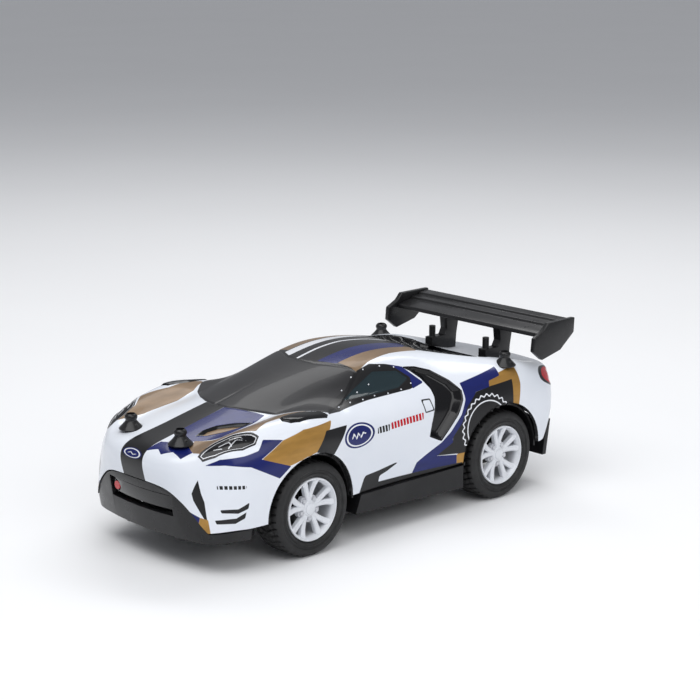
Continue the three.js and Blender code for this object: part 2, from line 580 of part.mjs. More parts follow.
function batteryDoor() {
  const plate = block([-BAY_X + GAP, BAY_X - GAP], [-BAY_Y + GAP, BAY_Y - GAP], [FLOOR_Z, FLOOR_Z + DOOR_T]);
  const tongue = block([-35.2, 1 - BAY_X], [-5, 5], [FLOOR_Z, FLOOR_Z + DOOR_T]);
  let door = plate.add(tongue);
  for (let i = -2; i <= 2; i++)
    door = door.add(block([-20, 20], [5 * i - 0.5, 5 * i + 0.5], [FLOOR_Z - 0.4, FLOOR_Z + 0.2]));
  return door.subtract(rod("z", 1.1 + GAP, 0, 20, [-33, 0], 12));
}
piece("battery_door", batteryDoor(), "black");
function batteryScrew() {
  const head = rod("z", 2, FLOOR_Z - 1.5, FLOOR_Z - GAP, [-33, 0], 16);
  const shank = rod("z", 0.6, FLOOR_Z - 0.6, FLOOR_TOP, [-33, 0], 10);
  const slot = block([-34.6, -31.4], [-0.3, 0.3], [FLOOR_Z - 2, FLOOR_Z - 0.9]);
  const cross = block([-33.3, -32.7], [-1.6, 1.6], [FLOOR_Z - 2, FLOOR_Z - 0.9]);
  return head.add(shank).subtract(slot).subtract(cross);
}
piece("battery_screw", batteryScrew(), "steel");

function receiverBoard() {
  const board = block([-23, 21], [-16, 16], [27, 28.4]);
  const parts = [
    block([-12, 0], [-5, 3], [28.3, 30.2]),
    block([8, 15], [-12, -8.4], [28.3, 32.5]),
    rod("z", 2.6, 28.3, 34, [-16, 10], 14),
    rod("z", 1.6, 28.3, 33, [5, 9], 12),
    rod("z", 1.6, 28.3, 33, [10, 9], 12),
    block([-19, -14], [-12, -6], [28.3, 31]),
  ];
  return union(board, ...parts);
}
piece("receiver_board", receiverBoard(), "board");

// ---------------------------------------------------------------- steering
const FRAME_Z = [22.9, 24.3];
const RACK_Z = [11.2, 12.8];
const TIE_PIN = [FRONT_X - ARM_PIN_BACK, KINGPIN_Y - ARM_PIN_IN];
function knuckle() {
  const upright = rod("z", 2.3, FLOOR_TOP + 0.4, FRAME_Z[0] - GAP, [FRONT_X, KINGPIN_Y], 14);
  const pin = rod("z", KINGPIN_R, FLOOR_Z + 0.2, FRAME_Z[1] - 0.2, [FRONT_X, KINGPIN_Y], 12);
  const boss = rod("y", 2.8, KINGPIN_Y, 31.4, [FRONT_X, HUB_Z], 14);
  const stub = rod("y", AXLE_R, 31, AXLE_END, [FRONT_X, HUB_Z], 12);
  const [px, py] = TIE_PIN;
  const arm = prism("z", [
    [px - 1.4, py - 1.4], [px + 1.6, py - 1.6], [FRONT_X + 1.6, KINGPIN_Y - 1.6],
    [FRONT_X - 1.6, KINGPIN_Y + 1.6], [px - 1.6, py + 1.6],
  ], 13.3, 15);
  const armPin = rod("z", 1.1, RACK_Z[0], 14, TIE_PIN, 12);
  return union(upright, pin, boss, stub, arm, armPin);
}
piece("steering_knuckle_left", knuckle(), "black");
piece("steering_knuckle_right", mirrored(knuckle()), "black");

// A bar across the car: slotted over the knuckle arms' pins, with a rack cut in its rear edge.
function tieRod() {
  const [px, py] = TIE_PIN;
  const bar = block([px - 1.6, px + 2], [-py, py], RACK_Z);
  const end = block([px - 3.9, px + 4.5], [py - 2.5, py + 2.4], RACK_Z);
  const slot = block([px - 3.1, px + 3.6], [py - 1.55, py + 1.55], [RACK_Z[0] - 1, RACK_Z[1] + 1]);
  let tie = union(bar, end, mirrored(end)).subtract(slot).subtract(mirrored(slot));
  const pitch = Math.PI * STEER_GEAR.module;
  for (let i = -3; i <= 3; i++) {
    const y = (i + 0.5) * pitch;
    const tip = 0.15;
    tie = tie.add(prism("z", [
      [RACK_X + 0.6, y + 0.52], [RACK_X - 0.42, y + tip], [RACK_X - 0.42, y - tip], [RACK_X + 0.6, y - 0.52],
    ], ...RACK_Z));
  }
  return tie.add(block([RACK_X + 0.5, px], [-5.6, 5.6], RACK_Z));
}
piece("tie_rod", tieRod(), "nylon");

const STEER_GEAR_X = RACK_X - pitchRadius(STEER_GEAR);
function steeringGear() {
  const wheel = prism("z", gearOutline(STEER_GEAR, 0), RACK_Z[0], RACK_Z[1]);
  return wheel.subtract(rod("z", 0.6 + GAP, 0, 30, [0, 0], 10));
}
piece("steering_gear", steeringGear(), "nylon", [STEER_GEAR_X, 0, 0]);
function steeringMotor() {
  const can = rod("z", 4.9, 13.6, FRAME_Z[0] - GAP, [STEER_GEAR_X, 0], 20);
  return can.add(rod("z", 0.6, RACK_Z[0], 14, [STEER_GEAR_X, 0], 10));
}
piece("steering_motor", steeringMotor(), "steel");

function steeringFrame() {
  const half = [[58.5, 15.5], [50.6, 20.5], [50, 30], [44, 30], [43.5, 13], [31, 6.5]];
  const outline = [...half, ...half.map(([x, y]) => [x, -y]).reverse()];
  let frame = prism("z", outline, ...FRAME_Z);
  for (const y of [KINGPIN_Y, -KINGPIN_Y])
    frame = frame.subtract(rod("z", KINGPIN_R + GAP, 0, 40, [FRONT_X, y], 12));
  return frame;
}
piece("steering_frame", steeringFrame(), "black");

function trimLever() {
  const x = FRONT_X + 6;
  const pin = rod("z", 1.1, 6.6, FLOOR_TOP + 1, [x, 0], 12);
  const hub = rod("z", 2.4, 6.4, FLOOR_Z - GAP, [x, 0], 16);
  const blade = prism("z", [[x, -1.2], [x, 1.2], [x - 9, 2], [x - 10, 0], [x - 9, -2]], 6.4, 7.4);
  return union(pin, hub, blade);
}
piece("steering_trim_lever", trimLever(), "black");

piece("power_switch_body", block([59.5, 66.5], [-6, 7], [11.4, 15]), "black");
function switchKnob() {
  const knob = block([61.4, 64.6], [2, 5], [FLOOR_Z - 1.2, 11]);
  return knob.add(block([60.4, 65.6], [1, 6], [9.9, 11]));
}
piece("power_switch_knob", switchKnob(), "black");

// ---------------------------------------------------------------- bumpers
// Closes a row of rings of equal length, each a list of points, into one solid.
function loft(rings) {
  const n = rings[0].length;
  const faces = [];
  for (let i = 0; i + 1 < rings.length; i++)
    for (let j = 0; j < n; j++) {
      const [a, b] = [i * n + j, i * n + ((j + 1) % n)];
      faces.push(a, b, b + n, a, b + n, a + n);
    }
  const end = (rings.length - 1) * n;
  for (let j = 1; j + 1 < n; j++) faces.push(0, j + 1, j, end, end + j, end + j + 1);
  const geometry = new THREE.BufferGeometry();
  geometry.setAttribute("position", new THREE.Float32BufferAttribute(rings.flat(2), 3));
  geometry.setIndex(faces);
  return solid(geometry);
}
const noseX = (y) => 92.8 - (y * y) / 150;
// The bumper's upper edge, from the middle round to the sill, as x, y and height.
const BUMPER_EDGE = [
  [92.8, 0, 29], [92.4, 8, 28.9], [91.4, 14.5, 28], [90.6, 18, 26.6], [89.4, 22, 23.8], [88.2, 25.6, 20.4],
  [87, 28.2, 17.1], [85.8, 30, 14.8], [82.6, 32.2, 14.8], [78, 33.8, 14.8], [72, 35.4, 14.8],
];
const BUMPER_FOOT = 11.2;
const BUMPER_LEAN = 0.17; // how far the face falls back for each millimetre down
const BUMPER_T = 3.6;
const GRILLE = { y: 16.5, z: [18.8, 26.2] };
function bumperRing([x, y, top]) {
  const inward = new THREE.Vector2(70 - x, -y).normalize();
  const at = (depth, z) => [x + inward.x * depth, y + inward.y * depth, z];
  const lean = BUMPER_LEAN * (top - BUMPER_FOOT);
  return [at(0, top), at(lean, BUMPER_FOOT), at(lean + BUMPER_T, BUMPER_FOOT), at(BUMPER_T, top)];
}
function frontBumper() {
  const right = BUMPER_EDGE.slice(1).reverse().map(([x, y, z]) => [x, -y, z]);
  let bumper = clearOfShell(loft([...right, ...BUMPER_EDGE].map(bumperRing)));
  for (const y of [FRONT_POST.y, -FRONT_POST.y])
    bumper = bumper.subtract(rod("z", POST_R + GAP, 0, 60, [FRONT_POST.x, y], 14));
  return largest(bumper.subtract(block([70, 100], [-GRILLE.y, GRILLE.y], GRILLE.z)));
}
piece("front_bumper", frontBumper(), "black");

// The lens fills the upper part of the grille and leaves a slot below; the lamp shows through it.
const LENS_Z = [20.6, GRILLE.z[1] - 0.4];
const LAMP_AT = [-13.2, 23];
const LAMP_R = 1.5;
function grilleLens() {
  const rings = [];
  for (let y = -16; y <= 16; y += 4) {
    const x = noseX(y) - 1.2;
    rings.push([[x, y, LENS_Z[1]], [x - 0.9, y, LENS_Z[0]], [x - 2.5, y, LENS_Z[0]], [x - 1.6, y, LENS_Z[1]]]);
  }
  return loft(rings).subtract(rod("x", LAMP_R + GAP, 80, 100, LAMP_AT, 14));
}
piece("grille_lens", grilleLens(), "smoked");
const lampFlange = rod("x", LAMP_R + 0.4, 86.4, 87.2, LAMP_AT, 12);
piece("red_lamp", rod("x", LAMP_R, 87, 90.2, LAMP_AT, 12).add(lampFlange), "red");

function rearDiffuser() {
  const profile = [[-79.4, 23.4], [-77.4, FLOOR_TOP + GAP], [-75.4, FLOOR_TOP + GAP], [-77.4, 23.4]];
  const wall = clearOfShell(prism("y", profile, -33, 33));
  const fin = [[-78, 18], [-80.5, 11.5], [-79.5, FLOOR_TOP + GAP], [-76, FLOOR_TOP + GAP]];
  const fins = [-24, -12, 0, 12, 24].map((y) => prism("y", fin, y - 0.6, y + 0.6));
  return union(largest(wall), ...fins);
}
piece("rear_diffuser", rearDiffuser(), "black");

// ---------------------------------------------------------------- rear wing
const ENDPLATE_T = 2;
const ENDPLATE_OUT = WING_Y + 0.6;
const BLADE_Y = ENDPLATE_OUT - ENDPLATE_T - GAP;
function wingBlade() {
  const profile = [
    [-66.6, 57.4], [-67, 58.8], [-70, 59.6], [-74, 60.1], [-74.4, 61], [-78.4, 61.3], [-78.8, 62.1],
    [-83, 62.6], [-84, 61.8], [-79, 60], [-74.6, 58.6], [-70, 57.4],
  ];
  return prism("y", profile, -BLADE_Y, BLADE_Y);
}
piece("wing_blade", wingBlade(), "black");
function wingEndplate() {
  const outline = [
    [-84.6, 62.9], [-84.3, 57.3], [-76.9, 51.6], [-66.8, 49.3], [-61.8, 53.1], [-62.3, 58], [-67.1, 60.3],
    [-69.6, 62.9],
  ];
  return prism("y", outline, ENDPLATE_OUT - ENDPLATE_T, ENDPLATE_OUT);
}
piece("wing_endplate_left", wingEndplate(), "black");
piece("wing_endplate_right", mirrored(wingEndplate()), "black");
// A thick post under the blade, standing on a foot that has a round peg at its front.
const STAND_T = 3.6;
function wingUpright() {
  const outline = [
    [-76.4, 58.8], [-74.6, 58.3], [-70, 57.1], [-68.8, 57.1], [-69.4, 52.5], [-68.2, 50.2], [-61, 50.2],
    [-60.6, 40], [-74, 40], [-74.8, 50],
  ];
  const plate = prism("y", outline, STAND_Y - STAND_T / 2, STAND_Y + STAND_T / 2).subtract(shellKeepOut);
  return above(plate).add(rod("z", 1.3, 49, 54.5, [-63, STAND_Y], 12));
}
piece("wing_upright_left", wingUpright(), "black");
piece("wing_upright_right", mirrored(wingUpright()), "black");

export default car;
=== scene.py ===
"""A 1:26 toy radio-controlled race car: the looks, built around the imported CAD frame."""

import json
import math

import bpy
import numpy as np
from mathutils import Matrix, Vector


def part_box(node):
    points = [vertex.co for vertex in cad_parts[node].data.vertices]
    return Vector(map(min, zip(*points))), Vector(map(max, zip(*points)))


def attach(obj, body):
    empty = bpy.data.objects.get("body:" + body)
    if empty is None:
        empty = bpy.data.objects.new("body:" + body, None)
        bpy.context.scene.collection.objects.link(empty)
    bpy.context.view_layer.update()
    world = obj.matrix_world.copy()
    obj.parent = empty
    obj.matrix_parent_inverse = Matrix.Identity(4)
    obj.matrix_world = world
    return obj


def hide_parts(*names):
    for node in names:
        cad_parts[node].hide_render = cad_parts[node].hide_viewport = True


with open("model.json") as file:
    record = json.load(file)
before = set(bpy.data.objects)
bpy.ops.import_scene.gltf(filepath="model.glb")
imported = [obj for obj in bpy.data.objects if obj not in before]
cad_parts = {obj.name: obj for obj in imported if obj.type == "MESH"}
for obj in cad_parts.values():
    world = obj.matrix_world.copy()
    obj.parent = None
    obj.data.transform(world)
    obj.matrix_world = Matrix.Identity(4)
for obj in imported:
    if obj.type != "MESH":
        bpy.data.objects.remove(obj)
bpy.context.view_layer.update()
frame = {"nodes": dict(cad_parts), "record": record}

MM = 0.001


def middle(node):
    low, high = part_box(node)
    return [(a + b) / 2 for a, b in zip(low, high)]


FRONT_HUB = middle("tyre_front_left")
REAR_HUB = middle("tyre_rear_left")
# Outlines and sections below are in millimetres, measured from midway between the axles.
MID_X = (FRONT_HUB[0] + REAR_HUB[0]) / 2
HUB_X = (FRONT_HUB[0] - MID_X) / MM
HUB_Z = FRONT_HUB[2] / MM
TYRE_R = HUB_Z
TYRE_HALF = (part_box("tyre_front_left")[1][1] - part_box("tyre_front_left")[0][1]) / 2 / MM
ARCH_R = 19.8
ARCH_INNER_Y = 20
SHELL_T = 1.2
ROWS, COLUMNS = ((470, 290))

# ---------------------------------------------------------------- camera, light and floor
CAMERA_AZIMUTH = math.radians(136.63)
CAMERA_ELEVATION = math.radians(16.49)
CAMERA_DISTANCE = 0.693
CAMERA_TARGET = Vector((MID_X - 0.0035, 0, 0.0178))
CAMERA_LENS = 97.2
CAMERA_SHIFT = (0.0065, 0.148)
# Each light's name, azimuth and elevation in degrees, distance and size in metres, and power.
LIGHTS = [
    ("key", 110, 66, 0.9, (0.9, 0.6), 4.6),
    ("side_fill", 172, 34, 1.1, (0.8, 0.5), 2.6),
    ("back_strip", 300, 55, 0.9, (0.9, 0.25), 2.6),
]
SKY_COLOUR = (0.93, 0.95, 1, 1)
SKY_STRENGTH = 0.36
FLOOR_SIZE = 6


def direction(azimuth, elevation):
    """The way from the car towards a viewer at that azimuth and elevation."""
    flat = math.cos(elevation)
    return Vector((math.sin(azimuth) * flat, -math.cos(azimuth) * flat, math.sin(elevation)))


def make_camera():
    data = bpy.data.cameras.new("camera")
    data.lens = CAMERA_LENS
    data.sensor_width = 36
    data.shift_x, data.shift_y = CAMERA_SHIFT
    data.clip_start = 0.01
    camera = bpy.data.objects.new("camera", data)
    back = direction(CAMERA_AZIMUTH, CAMERA_ELEVATION)
    camera.location = CAMERA_TARGET + back * CAMERA_DISTANCE
    camera.rotation_euler = back.to_track_quat("Z", "Y").to_euler()
    bpy.context.collection.objects.link(camera)
    bpy.context.scene.camera = camera


def area_light(name, azimuth, elevation, distance, size, power):
    data = bpy.data.lights.new(name, "AREA")
    data.shape = "RECTANGLE"
    data.size, data.size_y = size
    data.energy = power
    light = bpy.data.objects.new(name, data)
    back = direction(math.radians(azimuth), math.radians(elevation))
    light.location = back * distance
    light.rotation_euler = back.to_track_quat("Z", "Y").to_euler()
    bpy.context.collection.objects.link(light)


def make_studio():
    for light in LIGHTS:
        area_light(*light)
    bpy.context.scene.view_settings.view_transform = "Standard"
    world = bpy.data.worlds.new("studio")
    world.use_nodes = True
    background = world.node_tree.nodes["Background"]
    background.inputs["Color"].default_value = SKY_COLOUR
    background.inputs["Strength"].default_value = SKY_STRENGTH
    bpy.context.scene.world = world
    bpy.ops.mesh.primitive_plane_add(size=FLOOR_SIZE)
    floor = bpy.context.object
    floor.name = "floor"
    floor.data.materials.append(plain_material("floor_paper", (0.93, 0.935, 0.945), 0.75))


# ---------------------------------------------------------------- materials
class Nodes:
    """A material's node tree, with short calls for the nodes used here."""

    def __init__(self, name):
        self.material = bpy.data.materials.new(name)
        self.material.use_nodes = True
        self.tree = self.material.node_tree
        self.shader = self.tree.nodes["Principled BSDF"]

    def add(self, kind, **settings):
        node = self.tree.nodes.new(kind)
        for key, value in settings.items():
            if key in node.inputs:
                node.inputs[key].default_value = value
            else:
                setattr(node, key, value)
        return node

    def link(self, output, node, key):
        self.tree.links.new(output, node.inputs[key])

    def place(self):
        return self.add("ShaderNodeTexCoord").outputs["Object"]

    def noise(self, scale, detail=3, stretch=None):
        node = self.add("ShaderNodeTexNoise", Scale=scale, Detail=detail)
        source = self.place()
        if stretch:
            mapping = self.add("ShaderNodeMapping", Scale=stretch)
            self.link(source, mapping, "Vector")
            source = mapping.outputs["Vector"]
        self.link(source, node, "Vector")
        return node.outputs["Fac"]

    def ramp(self, value, low, high, to_low=0.0, to_high=1.0):
        node = self.add("ShaderNodeMapRange", clamp=True)
        for key, number in zip(("From Min", "From Max", "To Min", "To Max"), (low, high, to_low, to_high)):
            node.inputs[key].default_value = number
        self.link(value, node, "Value")
        return node.outputs["Result"]

    def mix(self, factor, a, b):
        """Mixes two colours; each is a socket or a plain (r, g, b)."""
        node = self.add("ShaderNodeMix", data_type="RGBA")
        self.link(factor, node, 0)
        for index, colour in ((6, a), (7, b)):
            if isinstance(colour, tuple):
                node.inputs[index].default_value = (*colour, 1)
            else:
                self.link(colour, node, index)
        return node.outputs[2]

    def mix_value(self, factor, a, b):
        node = self.add("ShaderNodeMix", data_type="FLOAT")
        self.link(factor, node, 0)
        for index, value in ((2, a), (3, b)):
            if isinstance(value, (int, float)):
                node.inputs[index].default_value = value
            else:
                self.link(value, node, index)
        return node.outputs[0]

    def maths(self, operation, a, b=0.0):
        node = self.add("ShaderNodeMath", operation=operation)
        for index, value in enumerate((a, b)):
            if isinstance(value, (int, float)):
                node.inputs[index].default_value = value
            else:
                self.link(value, node, index)
        return node.outputs[0]

    def bump(self, height, strength, distance=0.0001):
        node = self.add("ShaderNodeBump", Strength=strength, Distance=distance)
        self.link(height, node, "Height")
        self.link(node.outputs["Normal"], self.shader, "Normal")

    def set(self, **values):
        for key, value in values.items():
            self.shader.inputs[key.replace("_", " ")].default_value = value


def plain_material(name, colour, roughness):
    """A pale paper-like surface with a faint mottle."""
    nodes = Nodes(name)
    shade = nodes.ramp(nodes.noise(6), 0.3, 0.7)
    darker = tuple(0.985 * channel for channel in colour)
    nodes.link(nodes.mix(shade, colour, darker), nodes.shader, "Base Color")
    nodes.set(Roughness=roughness)
    return nodes.material


def moulded(name, colour, roughness, grain=4000, depth=0.15, coat=0.0, wear=0.25):
    """Injection-moulded plastic: fine grain, slight colour drift and patchy gloss."""
    nodes = Nodes(name)
    drift = nodes.ramp(nodes.noise(90), 0.35, 0.7)
    lighter = tuple(min(1, channel * (1 + wear) + 0.004) for channel in colour)
    nodes.link(nodes.mix(drift, colour, lighter), nodes.shader, "Base Color")
    patches = nodes.ramp(nodes.noise(260), 0.3, 0.7, roughness * 0.85, min(1, roughness * 1.2))
    nodes.link(patches, nodes.shader, "Roughness")
    nodes.set(Coat_Weight=coat, IOR=1.38)
    nodes.bump(nodes.noise(grain, 2), depth, 0.00008)
    return nodes.material


def metal(name, colour, roughness, stretch):
    """Drawn or turned metal with fine lines along one way."""
    nodes = Nodes(name)
    lines = nodes.noise(700, 4, stretch)
    dull = tuple(channel * 0.72 for channel in colour)
    nodes.link(nodes.mix(nodes.ramp(lines, 0.3, 0.7), colour, dull), nodes.shader, "Base Color")
    nodes.link(nodes.ramp(lines, 0.2, 0.8, roughness * 0.8, roughness * 1.4), nodes.shader, "Roughness")
    nodes.set(Metallic=1.0)
    nodes.bump(lines, 0.2, 0.00005)
    return nodes.material


def rubber():
    nodes = Nodes("tyre_rubber")
    dust = nodes.ramp(nodes.noise(140, 5), 0.45, 0.8)
    nodes.link(nodes.mix(dust, (0.008, 0.008, 0.0085), (0.017, 0.017, 0.0175)), nodes.shader, "Base Color")
    nodes.link(nodes.ramp(nodes.noise(500), 0.3, 0.7, 0.5, 0.68), nodes.shader, "Roughness")
    nodes.bump(nodes.noise(5200, 3), 0.25)
    return nodes.material


def circuit_board():
    nodes = Nodes("circuit_board")
    tracks = nodes.add("ShaderNodeTexBrick", Scale=420, offset=0.37)
    tracks.inputs["Mortar Size"].default_value = 0.03
    nodes.link(nodes.place(), tracks, "Vector")
    green = nodes.mix(tracks.outputs["Fac"], (0.02, 0.16, 0.06), (0.05, 0.3, 0.13))
    nodes.link(green, nodes.shader, "Base Color")
    nodes.set(Roughness=0.35)
    nodes.bump(tracks.outputs["Fac"], 0.2)
    return nodes.material


def cell_wrap():
    """A dry cell's plain printed sleeve: dark, with a copper-coloured end."""
    nodes = Nodes("cell_wrap")
    split = nodes.add("ShaderNodeSeparateXYZ")
    nodes.link(nodes.place(), split, "Vector")
    band = nodes.ramp(split.outputs["X"], 0.0090, 0.0092)
    dark = nodes.mix(nodes.ramp(nodes.noise(300), 0.3, 0.7), (0.02, 0.022, 0.03), (0.03, 0.033, 0.042))
    nodes.link(nodes.mix(band, dark, (0.55, 0.27, 0.1)), nodes.shader, "Base Color")
    nodes.set(Roughness=0.28, Metallic=0.4)
    return nodes.material


# ---------------------------------------------------------------- the body's outer surface
# Half sections from the tail's lower edge to the nose's lower edge, one to a line. Each runs from
# the centreline over the roof rail, belt and flank to the bottom edge, as x y z.
SECTIONS = """
-80 0 24, -80 10 24, -80 18 24, -79.5 22 23.5, -79 27 22, -77.5 31.5 20.5, -74 35 19, -71 36.8 18
-83.5 0 33, -83.5 10 33, -83.2 18 33, -82.8 22 32.5, -81.5 28 31, -78.5 33.5 29, -74 36.8 25, -69.5 37.5 18
-85 0 41, -85 10 41, -84.6 18 40.8, -84 22 40.5, -82.5 28 39.5, -79 33 37, -74 37 29, -68 38 18
-84.5 0 44, -84.5 10 44, -84 18 43.8, -83.5 22 43.7, -81 27.5 43.2, -76.5 33.5 40.5, -71.5 37.5 31, -66 38.3 18
-76 0 43.6, -76 10 43.6, -76 18 43.8, -75.5 22.5 44.4, -74 29 45, -71.5 35 41.5, -67 38.3 31, -63.5 38.6 18
-65 0 45.4, -65 10 45.4, -65 18 46, -65 23 47.2, -64 30 47.8, -63 36.5 43.3, -60 38.8 31, -58 38.8 18
-53 0 48.6, -53 10 48.7, -53 18 49.4, -53 24 50.3, -53 31 49.8, -53 37.3 44.5, -53 39 31, -53 39 18
-40 0 52.6, -40 10 52.5, -40 18.5 52.6, -40 23.5 52.6, -40 31 49.6, -40 37 43.5, -40 38.6 31, -40 38.5 18
-28 0 56.4, -28 10 56.1, -28 19 55.2, -28 22.5 53.8, -28 31 48, -28 36 41, -28 37 30, -28 36.8 17.5
-14 0 58.9, -14 10 58.6, -14 18.5 57.2, -14 22 55.4, -14 30.5 46.5, -14 34.8 39.5, -14 35.5 29, -14 35.8 17
0 0 59.6, 0 10 59.2, 0 18 57.8, 0 21.8 55.6, 0 30 45.5, 0 34 39, 0 34.8 29, 0 35.3 17
13 0 58, 13 10 57.5, 13 18 55.9, 13 21.8 53.8, 13 29.8 45.2, 13 34.3 39, 13 35 29, 13 35.5 17
27 0 55.2, 27 10 54.5, 27 18 52.3, 27 22 50.2, 27 30.5 45.3, 27 35.5 39.2, 27 36.2 29, 27 36.2 17
40 0 52.2, 40 10 51.4, 40 18.5 49, 40 22.5 47.6, 40 31.5 47.4, 40 37.8 41.4, 40 38.2 29, 40 38 16.8
50 0 49.7, 50 10 48.9, 50 18.5 46.8, 50 22.5 46.6, 50 32 48.6, 50 38.6 42.5, 50 38.7 29, 50 38.5 16.5
58 0 47.8, 58 10 47.2, 58 18.5 45.2, 58 22.5 45.4, 58 31 48.2, 58 38 41.6, 58 38.6 28.5, 58 38.3 16.2
70 0 45.2, 70 10 44.8, 70 18 43.6, 70 22 44, 70 29.5 46.1, 70 36.2 39.2, 70 37.3 27, 70 37 15.8
81 0 42.6, 81 10 42.3, 81 17.5 41.2, 81 21.3 41.4, 80 27.5 42.4, 78 33.4 36.4, 76 35.6 25.5, 74 36 15.6
90 0 40.5, 89.8 10 40.2, 88.6 17 39.5, 87.5 20.5 39, 85.5 25 38, 82.5 29.8 33, 80.5 32.8 24.5, 78.5 34 15.5
94 0 36.5, 93.6 10 36.3, 92 16.5 35.8, 90.7 20 35, 88.3 24.5 32.5, 86 28.5 27.5, 84.4 31.2 21, 83 32.5 15.5
92.8 0 29.3, 92.5 9 29.2, 91.7 14.5 28.4, 91 18 27, 89.8 22 24.2, 88.6 25.6 20.8, 87.4 28.2 17.5, 86.2 30 15.3
"""


def controls(points):
    """Control points of a cubic B-spline passing close to the points, with one more at each end."""
    inner = points.copy()
    inner[1:-1] -= (points[:-2] - 2 * points[1:-1] + points[2:]) / 6
    first = 2 * inner[0] - inner[1]
    last = 2 * inner[-1] - inner[-2]
    return np.concatenate([[first], inner, [last]])


def spline(control, t):
    i = np.minimum(t.astype(int), len(control) - 4)
    f = t - i
    weights = (
        (1 - f) ** 3 / 6,
        (3 * f**3 - 6 * f**2 + 4) / 6,
        (-3 * f**3 + 3 * f**2 + 3 * f + 1) / 6,
        f**3 / 6,
    )
    shape = (-1,) + (1,) * (control.ndim - 1)
    return sum(w.reshape(shape) * control[i + k] for k, w in enumerate(weights))


def body_grid(rows, columns):
    """Points of the body surface, tail to nose by right sill to left sill."""
    sections = SECTIONS.strip().splitlines()
    half = np.array([[[float(v) for v in p.split()] for p in row.split(",")] for row in sections])
    full = np.concatenate([half[:, :0:-1] * (1, -1, 1), half], axis=1)
    across = np.swapaxes(np.stack([controls(row) for row in full]), 0, 1)
    columns_at = np.linspace(0, full.shape[1] - 1, columns)
    lines = np.swapaxes(spline(across, columns_at), 0, 1)
    return spline(controls(lines), np.linspace(0, len(half) - 1, rows))


# ---------------------------------------------------------------- outlines and distances
def outline(text):
    return np.array([[float(v) for v in pair.split(",")] for pair in text.split()])


def inside(points, polygon):
    """Signed distance from each 2-D point to a closed polygon, negative within it."""
    distance = np.full(len(points), 1e9)
    within = np.zeros(len(points), bool)
    x, y = points[:, 0], points[:, 1]
    for a, b in zip(polygon, np.roll(polygon, -1, axis=0)):
        edge = b - a
        away = points - a
        t = np.clip((away @ edge) / max(edge @ edge, 1e-12), 0, 1)
        distance = np.minimum(distance, np.hypot(*(away - t[:, None] * edge).T))
        crosses = (a[1] > y) != (b[1] > y)
        rise = b[1] - a[1] if b[1] != a[1] else 1e-12
        within ^= crosses & (x < edge[0] * (y - a[1]) / rise + a[0])
    return np.where(within, -distance, distance)


def stroke(points, line, width):
    """Distance to an open line drawn with a pen of that width, negative on the line."""
    distance = np.full(len(points), 1e9)
    for a, b in zip(line[:-1], line[1:]):
        edge = b - a
        away = points - a
        t = np.clip((away @ edge) / max(edge @ edge, 1e-12), 0, 1)
        distance = np.minimum(distance, np.hypot(*(away - t[:, None] * edge).T))
    return distance - width / 2


def ellipse(points, centre, radii):
    scaled = (points - centre) / radii
    return (np.hypot(*scaled.T) - 1) * min(radii)


MIDDLE_GAP = 2  # how far one-sided shapes keep off the centreline
FLANK_Y = 22  # side-view shapes apply further out than this
WINDOW_Y = 19  # the same for the side windows, which lean inwards
NOSE_X = 70  # front-view shapes on the nose apply ahead of this


class Skin:
    """The body's vertices with the plane views that outlines are drawn in."""

    def __init__(self, points):
        self.x, self.y, self.z = points.T
        self.views = {
            "top": np.stack([self.x, self.y], 1),
            "side": np.stack([self.x, self.z], 1),
            "front": np.stack([self.y, self.z], 1),
            "top_both": np.stack([self.x, abs(self.y)], 1),
            "front_both": np.stack([abs(self.y), self.z], 1),
        }

    def limit(self, view, distance, reach):
        """Keeps a shape off the parts of the body that its view would also cross."""
        if view == "side":
            return np.maximum(distance, reach - abs(self.y))
        if view.startswith("front"):
            return np.maximum(distance, reach - self.x if reach > 0 else self.x - reach)
        return distance

    def left(self, distance):
        """Keeps a shape on the car's left, clear of the middle."""
        return np.maximum(distance, MIDDLE_GAP - self.y)

    def right(self, distance):
        return np.maximum(distance, MIDDLE_GAP + self.y)

    def fill(self, view, text, reach=FLANK_Y):
        return self.limit(view, inside(self.views[view], outline(text)), reach)

    def line(self, view, text, width, reach=FLANK_Y):
        return self.limit(view, stroke(self.views[view], outline(text), width), reach)

    def oval(self, view, centre, radii, reach=FLANK_Y):
        return self.limit(view, ellipse(self.views[view], np.array(centre), np.array(radii)), reach)


WINDSCREEN = (
    "57.8,0 57,6 54,12.5 48,21.5 41,27.5 33,30.5 24,27.8 10.6,21.2 14.5,14 18.3,7 19.3,-0.5"
)
ROOF = "20,-0.5 18.9,7 15.1,14 11,21 4,19.2 -8,17.6 -22,17 -28,15 -28,-0.5"
DECK = "-23,-0.5 -23,16.6 -34,20 -44,24.2 -51,25.5 -60,22 -66,13 -67,-0.5"
WINDOW = (
    "34,46 31,47.3 19.6,50.4 12,55 4.3,56.6 -1.9,55.8 -8,54.2 -13.9,48.5 -7.1,47.1 13.2,46.6 28,45.6"
)
GLASS = "22.8,48 5,54.3 -5.2,53.2 -8.4,50.4 -2.7,48.3 9.5,47.9"
WINDOW_TAIL = "-2.7,55.6 -8.6,54 -14.2,48.3 -8.3,47.1 -9.6,50.6 -5.6,54"
SCOOP = (
    "-7.9,54.1 -14.3,53.3 -20.1,51.4 -25.2,47.7 -28.2,44 -27.8,40.8 -24.9,35.8 -20.3,30.9 -16.8,27.4"
    " -11.2,30 -12.4,34.7 -14.3,39.8 -15.6,43.4 -15.6,46 -13.8,49.6 -11,52.3"
)
LAMP = "85,23.9 83.4,23.7 77.9,24.1 72.2,26 67.4,30.6 66.4,33 68.9,34.2 73.5,33.1 81.4,28.6 84.6,25.9"
FENDER_VENT = "55.9,32.3 54.7,29.6 45.7,28.7 36.5,29.8 34.4,31.6 36.3,33.2 50.4,35 53.8,34.4"
TEARDROP = "77,12.8 73,11.8 68,12.8 62,16 57,19.8 62,19.6 68.5,18.2 74,15.8"
